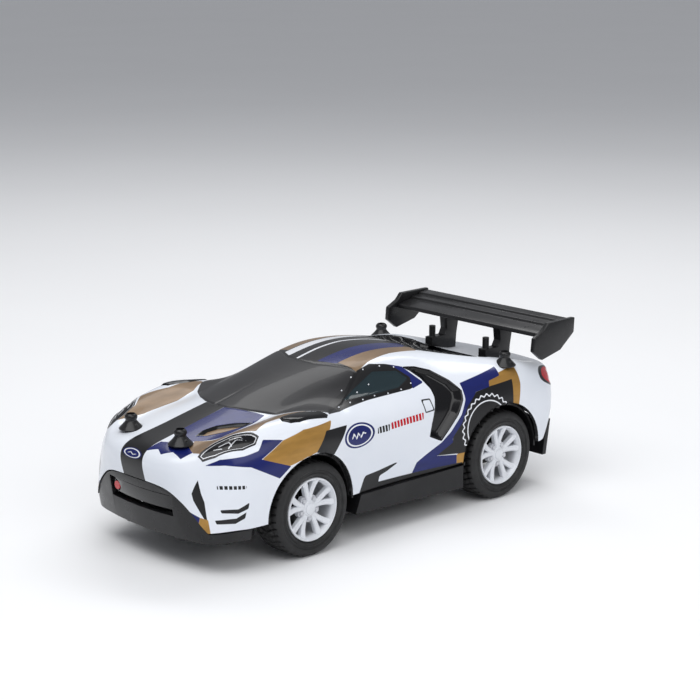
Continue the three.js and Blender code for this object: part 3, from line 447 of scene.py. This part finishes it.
TAIL_LAMP = ((31.2, 40.2), (3.6, 3.4), -70)

BLACK, WHITE, BLUE, GOLD, TAN, RED, GLOSS, SMOKE, SILVER, GREY = (
    "black", "white", "blue", "gold", "tan", "red", "gloss", "smoke", "silver", "grey",
)
# Linear colour, metallic and roughness of each printed ink.
INKS = {
    BLACK: ((0.007, 0.007, 0.008), 0.0, 0.3),
    WHITE: ((0.82, 0.84, 0.88), 0.0, 0.2),
    BLUE: ((0.008, 0.015, 0.13), 0.0, 0.26),
    GOLD: ((0.46, 0.25, 0.06), 0.35, 0.3),
    TAN: ((0.25, 0.165, 0.095), 0.15, 0.36),
    RED: ((0.5, 0.012, 0.02), 0.0, 0.14),
    GLOSS: ((0.004, 0.004, 0.005), 0.0, 0.14),
    SMOKE: ((0.014, 0.027, 0.033), 0.0, 0.1),
    SILVER: ((0.62, 0.63, 0.66), 0.3, 0.25),
    GREY: ((0.019, 0.019, 0.021), 0.0, 0.4),
}


EDGE_FADE = 0.05  # an ink fades out over this far each side of its edge
BLOCK_END = (0.66, 0.72)  # the shares of the pitch over which a block's ink fades out
TOOTH_DEPTH = 0.45


class Layer:
    """One printed ink inside a shape; with a width, only a line that far inside its edge."""

    def __init__(self, ink, distance, width=0.0, inset=0.0, pitch=0.0):
        self.ink = ink
        self.distance = distance
        self.width = width
        self.inset = inset
        self.pitch = pitch  # length of one block and its gap, where the shape is broken into blocks

    def mask(self, nodes, name, along):
        distance = nodes.add("ShaderNodeAttribute", attribute_name=name).outputs["Fac"]
        if self.width:
            off = nodes.maths("ABSOLUTE", nodes.maths("ADD", distance, self.inset))
            distance = nodes.maths("SUBTRACT", off, self.width / 2)
        mask = nodes.ramp(distance, EDGE_FADE, -EDGE_FADE)
        if self.pitch:
            beat = nodes.maths("FRACT", nodes.maths("DIVIDE", along, self.pitch * MM))
            mask = nodes.maths("MULTIPLY", mask, nodes.ramp(beat, *reversed(BLOCK_END)))
        return mask


def ring(skin, centre, radius, teeth=0, reach=30):
    """A disc in the side view, its edge waved where teeth are asked for."""
    away = skin.views["side"] - np.array(centre)
    turn = np.arctan2(away[:, 1], away[:, 0])
    edge = radius + TOOTH_DEPTH * np.cos(teeth * turn) if teeth else radius
    return skin.limit("side", np.hypot(*away.T) - edge, reach)


RING_CENTRE = (-38.4, 29.4)


def livery(s):
    """The printed layers in painting order."""
    lamp = s.fill("top_both", LAMP)
    badge_oval = ((23.3, 37.3), (8, 4.1))
    nose_oval = ((0, 37.7), (4.9, 1.55), NOSE_X)
    return [
        # bonnet
        Layer(BLACK, s.fill("top", "56,-4.6 56,4.8 75,5.4 97,6 97,-6 75,-4.8")),
        Layer(BLUE, s.left(s.fill("top", "79,5.3 57,4.9 51.5,18.7 57.2,20.1 72.7,21.3 79.8,14.8"))),
        Layer(TAN, s.left(s.fill("top", "83.3,17.1 79,15.2 73.5,21.6 54.6,21.4 49.5,23.5 40,29 44,31"
                                        " 59.9,29.2 66,31 72,25.6 78,23.8 84,23.9 84.8,21.5"))),
        Layer(TAN, s.right(s.fill("top", "82,-24 78,-21.8 72.5,-20.4 58,-20.4 49,-22.4 40,-27.8 44,-30"
                                         " 55,-28.4 66,-30.5 72,-25.8"))),
        Layer(GLOSS, s.left(s.fill("top", TEARDROP))),
        Layer(TAN, s.left(s.fill("top", "75,13.4 72,13.1 68.2,14 63.5,16.6 61,18.4 66,17.5 71,15.9"))),
        Layer(BLUE, s.left(s.fill("top", "91.8,5.6 86,6.2 83.5,12 82.6,16.5 84.7,21 88.6,19.6 88,15 90.9,12.2"
                                         " 89.6,9.3"))),
        # flank and rear wing panel
        Layer(GOLD, s.fill("side", "68.4,38.2 59.4,43 50.5,45 35.2,44.7 46.4,36.6 58.3,34.4 63.4,36.1", 30)),
        Layer(BLACK, s.fill("side", "40.3,42.6 28.3,41.8 38,33.6 46.4,36.5", 30)),
        Layer(BLUE, s.fill("side", "84.6,37.2 80.5,39.2 73.6,39.9 68.8,41 66,44 59.2,43.2 68.5,38.3 57.6,34.3"
                                   " 62.3,30.9 72.5,36.3 79.6,37.4", 26)),
        Layer(GOLD, s.fill("side", "-41,46.6 -56.4,48.5 -56.4,42 -54.3,33 -45,33 -40,43")),
        Layer(BLACK, s.fill("side", "-40.5,43.6 -52.3,44.4 -51.4,34 -32.5,23 -33,19 -24,21.5 -13.2,22.6"
                                    " -22.2,26.3 -22.1,29.2 -25.7,32.9 -28.6,38 -34,42.6")),
        Layer(BLUE, s.fill("side", "-28.6,46.2 -47.3,49.2 -46.9,46.4 -41,45.4 -40.5,43.5 -34,42.6 -29,37.9"
                                   " -26.5,32.7 -22.1,27.8 -22.2,26 -14.5,22.4 -24.1,21.1 -24.1,14 -0.5,14"
                                   " -2.4,18.4 -4.8,21.8 -8.6,23.5 -16.8,26.9 -21.2,30.1 -26.2,35.6"
                                   " -28.6,40.7")),
        Layer(GOLD, s.fill("side", "-24.1,21.3 -36,21.3 -36,14 -24.1,14")),
        Layer(WHITE, ring(s, RING_CENTRE, 11.4, teeth=28), width=0.55),
        Layer(WHITE, ring(s, RING_CENTRE, 9.4), width=0.45),
        Layer(BLACK, s.fill("side", "26,13 21.6,21.6 20.6,22.5 14,22.9 2.8,24.2 9.8,21.8 13.6,20.9 14.3,18.9"
                                    " -27,17.8 -27,13")),
        # door marks
        Layer(BLUE, s.oval("side", *badge_oval)),
        Layer(WHITE, s.oval("side", *badge_oval), width=0.4, inset=0.75),
        Layer(WHITE, s.line("side", "27.2,36.8 26,38.4 24.9,36.5 23.7,38.2 22.5,36.5 21.2,38 19.8,37.3",
                            0.5)),
        Layer(BLACK, s.fill("side", "14,35.9 7.9,35.9 7.5,38.1 13.6,38.1"), pitch=1.5),
        Layer(RED, s.fill("side", "7.2,36.1 -8.6,36.8 -9,39.2 6.8,38.4"), pitch=1.5),
        Layer(BLACK, s.fill("side", "-9.6,43.2 -13.2,43.1 -13.9,39.3 -10.1,39"), width=0.45),
        # nose corner
        Layer(BLACK, s.fill("front_both", "26.1,32.8 24.7,28.2 25.3,26 29.8,18.4 28.5,25.6 27.4,28.4",
                            NOSE_X)),
        Layer(BLACK, s.fill("side", "82.6,23 77.3,22.8 73.8,24.8 74.2,22.7 77.3,21.3 82.2,21.9")),
        Layer(BLACK, s.fill("side", "84.3,19.7 77.8,19.7 74.8,21.6 75.2,19.5 78.1,17.9 83.9,18.4")),
        Layer(BLACK, s.fill("side", "82.6,29.7 74.6,29.4 74.6,30.6 82.6,30.9"), pitch=1.2),
        Layer(BLUE, s.fill("front_both", "23.6,22.4 27.6,20.5 26.9,15 24,15", NOSE_X)),
        Layer(GOLD, s.fill("front_both", "27.6,20.5 29.8,19.8 30.6,15 26.9,15", NOSE_X)),
        # glass and roof
        Layer(GREY, s.fill("top_both", WINDSCREEN)),
        Layer(BLACK, s.fill("top_both", ROOF)),
        Layer(TAN, s.fill("top_both", "12.6,13 11,21.2 4,19.4 -8,17.8 -22,17.2 -27,13.6 -20,12.6 0,12.8")),
        Layer(BLUE, s.fill("top", "16.4,6.5 13.4,13.2 0,12.9 -20,12.7 -26,8 -14,6.4 1.6,6.2")),
        Layer(WHITE, s.fill("top", "17.2,-7.4 14.6,-12.4 0,-12.2 -18,-12 -22,-9.6 -14,-8.2 0,-7.8")),
        Layer(WHITE, s.line("top", "17.8,-2 8,-2.8 -4,-3 -16,-1.4 -22,1.4", 1.1)),
        Layer(GLOSS, s.fill("top_both", DECK)),
        Layer(BLACK, s.fill("side", WINDOW, WINDOW_Y)),
        Layer(SMOKE, s.fill("side", GLASS, WINDOW_Y)),
        Layer(BLUE, s.fill("side", WINDOW_TAIL, WINDOW_Y)),
        Layer(GLOSS, s.fill("side", SCOOP)),
        # lamps and vents
        Layer(GLOSS, s.fill("top_both", FENDER_VENT)),
        Layer(GLOSS, lamp),
        Layer(SILVER, lamp, width=0.2, inset=0.7),
        Layer(SILVER, s.line("top_both", "78.6,27 75.2,28.2 75.6,29.9", 0.4)),
        Layer(SILVER, s.line("top_both", "76.8,29.8 73,29.2 71.6,30.6", 0.35)),
        Layer(SILVER, s.line("top_both", "74.3,27.3 71.2,29.3 70.9,31.6", 0.35)),
        Layer(SILVER, s.line("top_both", "80.4,26.6 78.4,28.4", 0.3)),
        Layer(BLUE, s.oval("front", *nose_oval)),
        Layer(WHITE, s.oval("front", *nose_oval), width=0.2, inset=0.3),
        Layer(WHITE, s.line("front", "-2.2,37.6 -0.7,38 0.6,37.4 2.2,37.8", 0.25, NOSE_X)),
        Layer(BLACK, s.oval("front_both", TAIL_LAMP[0], (4.3, 4.1), TAIL_LAMP[2])),
        Layer(RED, s.oval("front_both", *TAIL_LAMP)),
    ]


def soft_step(distance, soft):
    """1 well inside a shape, falling smoothly to 0 at its edge."""
    t = np.clip(-distance / soft, 0, 1)
    return t * t * (3 - 2 * t)


# How far each feature is pressed in or stands out, in millimetres.
SCOOP_DEPTH = 2.6
LAMP_DEPTH = 0.5
FENDER_VENT_RISE = 0.55
TEARDROP_DEPTH = 0.9
DECK_DEPTH = 1.7
LOUVRE_HEIGHT = 0.45
LOUVRE_PITCH = 4.4
GLASS_DEPTH = 0.35
TAIL_LAMP_RISE = 0.5
SCREEN_GROOVE = (0.3, 0.55)


def modelled(points):
    """Presses the scoop, lamps, vents and louvres into the body; returns the moved points."""
    flat = points.reshape(-1, 3).copy()
    s = Skin(flat)
    flat[:, 1] -= np.sign(s.y) * SCOOP_DEPTH * soft_step(s.fill("side", SCOOP), 2.6)
    flat[:, 2] -= LAMP_DEPTH * soft_step(s.fill("top_both", LAMP), 0.8)
    flat[:, 2] += FENDER_VENT_RISE * soft_step(s.fill("top_both", FENDER_VENT), 0.9)
    flat[:, 2] -= TEARDROP_DEPTH * soft_step(s.left(s.fill("top", TEARDROP)), 1.6)
    deck = soft_step(s.fill("top_both", DECK), 2.4)
    wave = np.clip(2.5 * np.cos((s.x + 24) * 2 * np.pi / LOUVRE_PITCH), -1, 1)
    flat[:, 2] -= deck * (DECK_DEPTH - LOUVRE_HEIGHT * wave)
    flat[:, 1] -= np.sign(s.y) * GLASS_DEPTH * soft_step(s.fill("side", GLASS, WINDOW_Y), 0.8)
    flat[:, 0] += TAIL_LAMP_RISE * soft_step(s.oval("front_both", *TAIL_LAMP), 1.6)
    depth, width = SCREEN_GROOVE
    flat[:, 2] -= depth * np.clip(1 - abs(s.fill("top_both", WINDSCREEN)) / width, 0, 1)
    return flat


def shell_material(layers):
    nodes = Nodes("printed_shell")
    mottle = nodes.ramp(nodes.noise(35), 0.3, 0.75)
    colour = nodes.mix(mottle, (0.8, 0.83, 0.885), (0.74, 0.78, 0.85))
    metallic = nodes.ramp(nodes.noise(20), 0.0, 1.0, 0.0, 0.02)
    rough = nodes.ramp(nodes.noise(70), 0.3, 0.7, 0.13, 0.2)
    streak = nodes.ramp(nodes.noise(260, 5, (0.35, 1, 1.6)), 0.35, 0.7)
    split = nodes.add("ShaderNodeSeparateXYZ")
    nodes.link(nodes.place(), split, "Vector")
    for i, layer in enumerate(layers):
        tint, shine, dull = INKS[layer.ink]
        mask = layer.mask(nodes, f"ink_{i:02d}", split.outputs["X"])
        if layer.ink in (GOLD, TAN, BLUE, GREY):
            tint = nodes.mix(streak, tint, tuple(0.74 * channel for channel in tint))
        colour = nodes.mix(mask, colour, tint)
        metallic = nodes.mix_value(mask, metallic, shine)
        rough = nodes.mix_value(mask, rough, dull)
    nodes.link(colour, nodes.shader, "Base Color")
    nodes.link(metallic, nodes.shader, "Metallic")
    nodes.link(rough, nodes.shader, "Roughness")
    nodes.set(Coat_Weight=0.15, Coat_Roughness=0.05, IOR=1.35)
    nodes.bump(nodes.noise(480, 2), 0.06)
    return nodes.material


def edit_mesh(piece, *steps):
    """Runs edit-mode steps on the whole of one piece's mesh."""
    bpy.ops.object.select_all(action="DESELECT")
    bpy.context.view_layer.objects.active = piece
    piece.select_set(True)
    bpy.ops.object.mode_set(mode="EDIT")
    bpy.ops.mesh.select_all(action="SELECT")
    for step in steps:
        step()
    bpy.ops.object.mode_set(mode="OBJECT")


def face_outwards():
    bpy.ops.mesh.normals_make_consistent(inside=False)


def apply_modifiers(piece):
    evaluated = piece.evaluated_get(bpy.context.evaluated_depsgraph_get())
    mesh = bpy.data.meshes.new_from_object(evaluated)
    piece.modifiers.clear()
    piece.data = mesh


def new_piece(name, points, faces, material, body, replaced=(), sharp=40):
    """Adds a mesh; points are in millimetres from midway between the axles."""
    mesh = bpy.data.meshes.new(name)
    mesh.from_pydata((np.asarray(points, float) * MM + (MID_X, 0, 0)).tolist(), [], faces)
    mesh.polygons.foreach_set("use_smooth", [True] * len(mesh.polygons))
    mesh.validate()
    piece = bpy.data.objects.new(name, mesh)
    piece.data.materials.append(material)
    bpy.context.collection.objects.link(piece)
    if sharp:
        mesh.set_sharp_from_angle(angle=math.radians(sharp))
    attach(piece, body)
    if replaced:
        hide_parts(*replaced)
    return piece


def cut_arches(points, grid_faces):
    """Drops the faces inside the wheel openings and draws their rims onto a true circle."""
    keep = np.ones(len(grid_faces), bool)
    for x in (HUB_X, -HUB_X):
        away = points[:, [0, 2]] - (x, HUB_Z)
        r = np.hypot(*away.T)
        within = (r < ARCH_R) & (abs(points[:, 1]) > ARCH_INNER_Y)
        keep &= ~within[grid_faces].all(axis=1)
        used = np.zeros(len(points), bool)
        used[grid_faces[keep]] = True
        snap = within & used
        points[snap, 0] = x + away[snap, 0] * ARCH_R / r[snap]
        points[snap, 2] = HUB_Z + away[snap, 1] * ARCH_R / r[snap]
    return points, grid_faces[keep]


def make_shell():
    grid = body_grid(ROWS, COLUMNS)
    points = modelled(grid)
    index = np.arange(ROWS * COLUMNS).reshape(ROWS, COLUMNS)
    faces = np.stack([index[:-1, :-1], index[1:, :-1], index[1:, 1:], index[:-1, 1:]], -1).reshape(-1, 4)
    layers = livery(Skin(grid.reshape(-1, 3)))
    points, faces = cut_arches(points, faces)
    shell = new_piece("race_body", points, faces.tolist(), shell_material(layers), "car",
                      ["body_shell"], sharp=0)
    for i, layer in enumerate(layers):
        attribute = shell.data.attributes.new(f"ink_{i:02d}", "FLOAT", "POINT")
        attribute.data.foreach_set("value", layer.distance.astype(np.float32))
    # The shell's inside gets a near-black material: painted shade for the hollow under the body, where the
    # real white shell is only in shadow.
    shell.data.materials.append(moulded("shell_inside_painted_shade", (0.02, 0.02, 0.022), 0.45))
    edit_mesh(shell, bpy.ops.mesh.delete_loose)
    wall = shell.modifiers.new("wall", "SOLIDIFY")
    wall.thickness = SHELL_T * MM
    wall.offset = -1
    # The inside face and the cut rim both take that near-black painted-shade material.
    wall.material_offset = 1
    wall.material_offset_rim = 1
    apply_modifiers(shell)
    shell.data.set_sharp_from_angle(angle=math.radians(50))
    make_rivets(grid.reshape(-1, 3))


# Rivet heads round the side windows, in the side view.
RIVETS = (
    "27,46.6 21,47 15,47.2 9,47.2 3,47.4 -3,47.7 -8.6,48.7 21,50.4 14.5,53.6 7.8,55.4 1,55.4 -5,54.4"
    " 15.6,49.3 9,50.9"
)
RIVET_R = 0.3


def make_rivets(skin):
    heads = []
    dome = [(0.01, -0.1), (RIVET_R, -0.1), (RIVET_R, 0.05), (0.7 * RIVET_R, 0.16), (0.01, 0.2)]
    for spot in outline(RIVETS):
        for side in (1, -1):
            flank = skin[skin[:, 1] * side > WINDOW_Y]
            at = flank[np.argmin(np.hypot(*(flank[:, [0, 2]] - spot).T))]
            heads.append(turned([(r, side * h) for r, h in dome], at, "y", 14))
    points, faces = joined(heads)
    material = moulded("rivet_white", (0.72, 0.74, 0.78), 0.3, grain=3000, depth=0.05)
    outward_faces(new_piece("window_rivets", points, faces, material, "car", sharp=40))


# ---------------------------------------------------------------- turned and lofted pieces
def closed_grid(rings, cap=False):
    """Points and faces of a row of equal rings; the row closes on itself unless it is capped."""
    rings = np.asarray(rings, float)
    m, n = rings.shape[:2]
    index = np.arange(m * n).reshape(m, n)
    faces = []
    for i in range(m - 1 if cap else m):
        a, b = index[i], index[(i + 1) % m]
        for j in range(n):
            k = (j + 1) % n
            faces.append((a[j], a[k], b[k], b[j]))
    if cap:
        faces.append(tuple(index[0][::-1]))
        faces.append(tuple(index[-1]))
    return rings.reshape(-1, 3), [tuple(int(v) for v in face) for face in faces]


def joined(parts):
    """Several (points, faces) pairs as one."""
    points, faces, start = [], [], 0
    for part_points, part_faces in parts:
        points.append(part_points)
        faces += [tuple(v + start for v in face) for face in part_faces]
        start += len(part_points)
    return np.concatenate(points), faces


def turned(profile, centre, axis, segments=48):
    """A closed profile of (radius, height) turned about an axis through the centre."""
    rings = []
    for turn in np.linspace(0, 2 * np.pi, segments, endpoint=False):
        c, s = math.cos(turn), math.sin(turn)
        if axis == "z":
            ring_points = [(r * c, r * s, h) for r, h in profile]
        else:
            ring_points = [(r * s, h, r * c) for r, h in profile]
        rings.append(np.array(ring_points) + centre)
    return closed_grid(rings)


def middle_mm(node):
    """The middle of a node's box, in millimetres from midway between the axles."""
    low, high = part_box(node)
    centre = [(a + b) / 2 / MM for a, b in zip(low, high)]
    centre[0] -= MID_X / MM
    return np.array(centre)


TREAD_BLOCKS = 40
TREAD_DEPTH = 0.45
TREAD_GAP = 0.27  # share of one block's pitch
CHANNEL_Y = 3.0  # the groove between the centre row and each shoulder row
CHANNEL_HALF = 0.35


def make_tyre(node, body, material):
    """A tyre with a row of chevron blocks between two shoulder rows."""
    centre = middle_mm(node)
    bead = 11.3
    half = TYRE_HALF
    side = [(bead, 0.6 - half), (bead + 0.7, 0.05 - half), (bead + 1.2, -half), (bead + 1.5, 0.3 - half),
            (bead + 2.2, 0.35 - half), (bead + 2.5, 0.02 - half), (TYRE_R - 1.7, -half),
            (TYRE_R - 1.0, 0.35 - half), (TYRE_R - 0.4, 0.9 - half), (TYRE_R - 0.1, 1.6 - half)]
    tread = [(TYRE_R, y) for y in np.linspace(2 - half, half - 2, 17)]
    profile = side + tread + [(r, -y) for r, y in reversed(side)] + [(bead, 0.0)]
    segments = TREAD_BLOCKS * 9
    rings = []
    for i in range(segments):
        turn = 2 * math.pi * i / segments
        phase = TREAD_BLOCKS * i / segments
        c, s = math.cos(turn), math.sin(turn)
        ring_points = []
        for r, y in profile:
            if r > TYRE_R - 1.75 and abs(y) < half - 0.9:
                shoulder = abs(y) > CHANNEL_Y + 0.1
                lead = phase + (0.5 + 0.05 * y if shoulder else 0.16 * abs(y))
                channel = abs(abs(y) - CHANNEL_Y) < CHANNEL_HALF
                r -= TREAD_DEPTH if channel or lead % 1.0 < TREAD_GAP else 0.0
            ring_points.append((r * s, y, r * c))
        rings.append(np.array(ring_points) + centre)
    points, faces = closed_grid(rings)
    new_piece(node.replace("tyre", "treaded_tyre"), points, [f[::-1] for f in faces], material, body,
              [node], sharp=32)


SPOKE_PAIRS = 5
SPOKE_LEAN = 0.27  # half the angle between a pair's two spokes at the rim, in radians
SPOKE_FROM = 2.2
SPOKE_REACH = 7.9
SPOKE_DEPTH = 1.9
NUT_CIRCLE_R = 3.55
NUT_R = 0.85


def spoke(turn, lean, half, out):
    """One tapered spoke from the hub to the rim, its section a rounded wedge."""
    rings = []
    for t in np.linspace(0, 1, 9):
        r = SPOKE_FROM + t * SPOKE_REACH
        width = 0.85 + 0.2 * t + 0.75 * max(0, t - 0.7) ** 1.2 + 0.5 * max(0, 0.15 - t)
        front = half - 2.1 + 1.1 * t**2
        back = front - SPOKE_DEPTH
        angle = turn + lean * (0.35 + 0.65 * t)
        along = np.array([math.sin(angle), 0, math.cos(angle)])
        across = np.array([math.cos(angle), 0, -math.sin(angle)])
        section = [(-1, back), (-1, front - 0.4), (-0.55, front), (0.55, front), (1, front - 0.4), (1, back)]
        rings.append([along * r + across * width * a + np.array([0, out * y, 0]) for a, y in section])
    return closed_grid(rings, cap=True)


def make_rim(node, body, out, material, nut_material):
    centre = middle_mm(node)
    centre[1] = out * abs(middle(node.replace("rim", "tyre"))[1]) / MM
    half = TYRE_HALF
    barrel = [(10.0, 0.6 - half), (11.0, 0.6 - half), (11.0, half - 0.5), (10.75, half - 0.25),
              (10.45, half - 0.3), (10.2, half - 0.9), (9.75, half - 1.5), (9.6, half - 2.6), (9.9, half - 4)]
    cap = [(1.4, half - 6), (2.9, half - 6), (2.9, half - 2.3), (2.5, half - 1.9), (2.0, half - 1.8),
           (1.9, half - 1.5), (1.2, half - 1.3), (0.02, half - 1.25), (0.02, half - 2.6), (1.4, half - 2.6)]
    parts = [turned([(r, out * h) for r, h in barrel], (0, 0, 0), "y", 96)]
    parts.append(turned([(r, out * h) for r, h in cap], (0, 0, 0), "y", 40))
    for i in range(SPOKE_PAIRS):
        turn = 2 * math.pi * i / SPOKE_PAIRS
        parts += [spoke(turn, lean, half, out) for lean in (SPOKE_LEAN, -SPOKE_LEAN)]
    points, faces = joined(parts)
    piece = new_piece(node.replace("rim", "spoked_rim"), points + centre, faces, material, body,
                      [node], sharp=35)
    outward_faces(piece)
    nuts = []
    for i in range(SPOKE_PAIRS):
        turn = 2 * math.pi * (i + 0.5) / SPOKE_PAIRS
        at = np.array([math.sin(turn), 0, math.cos(turn)]) * NUT_CIRCLE_R
        nut = [(0.02, half - 3.2), (NUT_R, half - 3.2), (NUT_R, half - 2.1), (0.6, half - 1.85),
               (0.02, half - 1.8)]
        nuts.append(turned([(r, out * h) for r, h in nut], at, "y", 6))
        pad = [(0.02, half - 4.2), (1.5, half - 4.2), (1.35, half - 2.7), (0.02, half - 2.7)]
        nuts.append(turned([(r, out * h) for r, h in pad], at, "y", 20))
    points, faces = joined(nuts)
    nut_piece = new_piece(node.replace("rim", "wheel_nuts"), points + centre, faces, nut_material, body,
                          sharp=30)
    outward_faces(nut_piece)


def outward_faces(piece):
    """Makes every closed part of a mesh face outwards."""
    edit_mesh(piece, lambda: bpy.ops.mesh.remove_doubles(threshold=1e-7), face_outwards)


CONE_HEIGHT = 5.4  # from the widest part of the skirt to the top of the button


def make_post_cap(node, material):
    """A body post's cap: a skirted cone, a neck and a round button, with two grip lugs."""
    centre = middle_mm(node)
    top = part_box(node)[1][2] / MM
    foot = top - CONE_HEIGHT
    profile = [(1.45, foot - 0.2), (4.1, foot), (4.25, foot + 0.35), (3.9, foot + 0.8), (3.0, foot + 1.7),
               (2.2, foot + 2.6), (1.9, foot + 3.1), (2.0, foot + 3.5), (2.25, foot + 4.1),
               (2.15, foot + 4.7), (1.75, foot + 5.15), (1.45, top - 0.02)]
    parts = [turned(profile, (centre[0], centre[1], 0), "z", 48)]
    for way in (-1, 1):
        lug = []
        for y, r in ((1.2, 0.9), (2.7, 0.8), (3.1, 0.45)):
            lug.append([(centre[0] + r * math.cos(a), centre[1] + way * y, foot + 1.5 + r * math.sin(a))
                        for a in np.linspace(0, 2 * np.pi, 16, endpoint=False)])
        parts.append(closed_grid(lug, cap=True))
    points, faces = joined(parts)
    piece = new_piece(node.replace("post_cap", "cone_cap"), points, faces, material, "car",
                      [node], sharp=35)
    outward_faces(piece)


# ---------------------------------------------------------------- softened copies of CAD pieces
FLAT_ANGLE = math.radians(2)  # faces closer than this are one flat face
ROUNDED_ANGLE = math.radians(28)  # edges sharper than this are rounded
CREASE_ANGLE = math.radians(30)  # edges sharper than this stay a crease in the shading


def softened(node, name, body, material, width=0.35, segments=3):
    """Stands in for a CAD node with the same shape, its edges rounded as a moulding's are."""
    source = frame["nodes"][node]
    piece = bpy.data.objects.new(name, source.data.copy())
    bpy.context.collection.objects.link(piece)
    piece.data.materials.clear()
    piece.data.materials.append(material)
    edit_mesh(
        piece,
        lambda: bpy.ops.mesh.remove_doubles(threshold=1e-6),
        lambda: bpy.ops.mesh.dissolve_limited(angle_limit=FLAT_ANGLE),
        face_outwards,
    )
    bevel = piece.modifiers.new("rounding", "BEVEL")
    bevel.width = width * MM
    bevel.segments = segments
    bevel.limit_method = "ANGLE"
    bevel.angle_limit = ROUNDED_ANGLE
    bevel.harden_normals = False
    apply_modifiers(piece)
    piece.data.polygons.foreach_set("use_smooth", [True] * len(piece.data.polygons))
    piece.data.set_sharp_from_angle(angle=CREASE_ANGLE)
    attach(piece, body)
    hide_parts(node)
    return piece


SIDES = ("left", "right")


def make_wheels(tyre_material, rim_material, nut_material):
    bodies = {"front_left": "front_left_wheel", "front_right": "front_right_wheel",
              "rear_left": "rear_axle_set", "rear_right": "rear_axle_set"}
    for place, body in bodies.items():
        out = 1 if place.endswith("left") else -1
        make_tyre(f"tyre_{place}", body, tyre_material)
        make_rim(f"rim_{place}", body, out, rim_material, nut_material)


def make_wing(material):
    softened("wing_blade", "ribbed_wing_blade", "car", material, 0.3)
    for side in SIDES:
        softened(f"wing_endplate_{side}", f"wing_end_{side}", "car", material, 0.35)
        softened(f"wing_upright_{side}", f"wing_stand_{side}", "car", material, 0.3)


def dress_frame(finishes):
    """Gives every CAD node that stays visible its own finish."""
    by_slot = {row["node"]: row["material_slot"] for row in frame["record"]["subparts"]}
    for node, piece in frame["nodes"].items():
        material = finishes[by_slot[node]]
        piece.data.materials.clear()
        piece.data.materials.append(material)


def main():
    make_camera()
    make_studio()
    trim = moulded("satin_trim", (0.008, 0.008, 0.009), 0.3, grain=2600, depth=0.1, coat=0.12)
    finishes = {
        "printed_shell": trim,
        "satin_black_trim": trim,
        "black_plastic": moulded("matt_black", (0.007, 0.007, 0.008), 0.38, depth=0.3),
        "tyre_rubber": rubber(),
        "white_rim": moulded("rim_white", (0.72, 0.74, 0.78), 0.26, grain=1500, depth=0.05, coat=0.3,
                             wear=0.05),
        "steel": metal("plated_steel", (0.58, 0.59, 0.61), 0.26, (1, 8, 1)),
        "brass": metal("turned_brass", (0.62, 0.42, 0.16), 0.3, (1, 10, 1)),
        "white_nylon": moulded("natural_nylon", (0.7, 0.68, 0.58), 0.42, wear=0.1),
        "smoked_lens": moulded("smoked_gloss", (0.006, 0.006, 0.007), 0.08, grain=900, depth=0.03, coat=0.4),
        "red_lamp": moulded("lamp_red", (0.5, 0.008, 0.015), 0.12, grain=900, depth=0.03, coat=0.9),
        "circuit_board": circuit_board(),
        "cell_wrap": cell_wrap(),
    }
    nuts = moulded("nut_grey", (0.5, 0.51, 0.54), 0.3, grain=1500, depth=0.05)
    dress_frame(finishes)
    make_shell()
    make_wheels(finishes["tyre_rubber"], finishes["white_rim"], nuts)
    for end in ("front", "rear"):
        for side in SIDES:
            make_post_cap(f"post_cap_{end}_{side}", finishes["satin_black_trim"])
    make_wing(trim)
    softened("front_bumper", "bumper_moulding", "car", trim, 0.3)
    softened("grille_lens", "smoked_grille_lens", "car", finishes["smoked_lens"], 0.25)
    softened("rear_diffuser", "finned_diffuser", "car", finishes["black_plastic"], 0.25)


main()
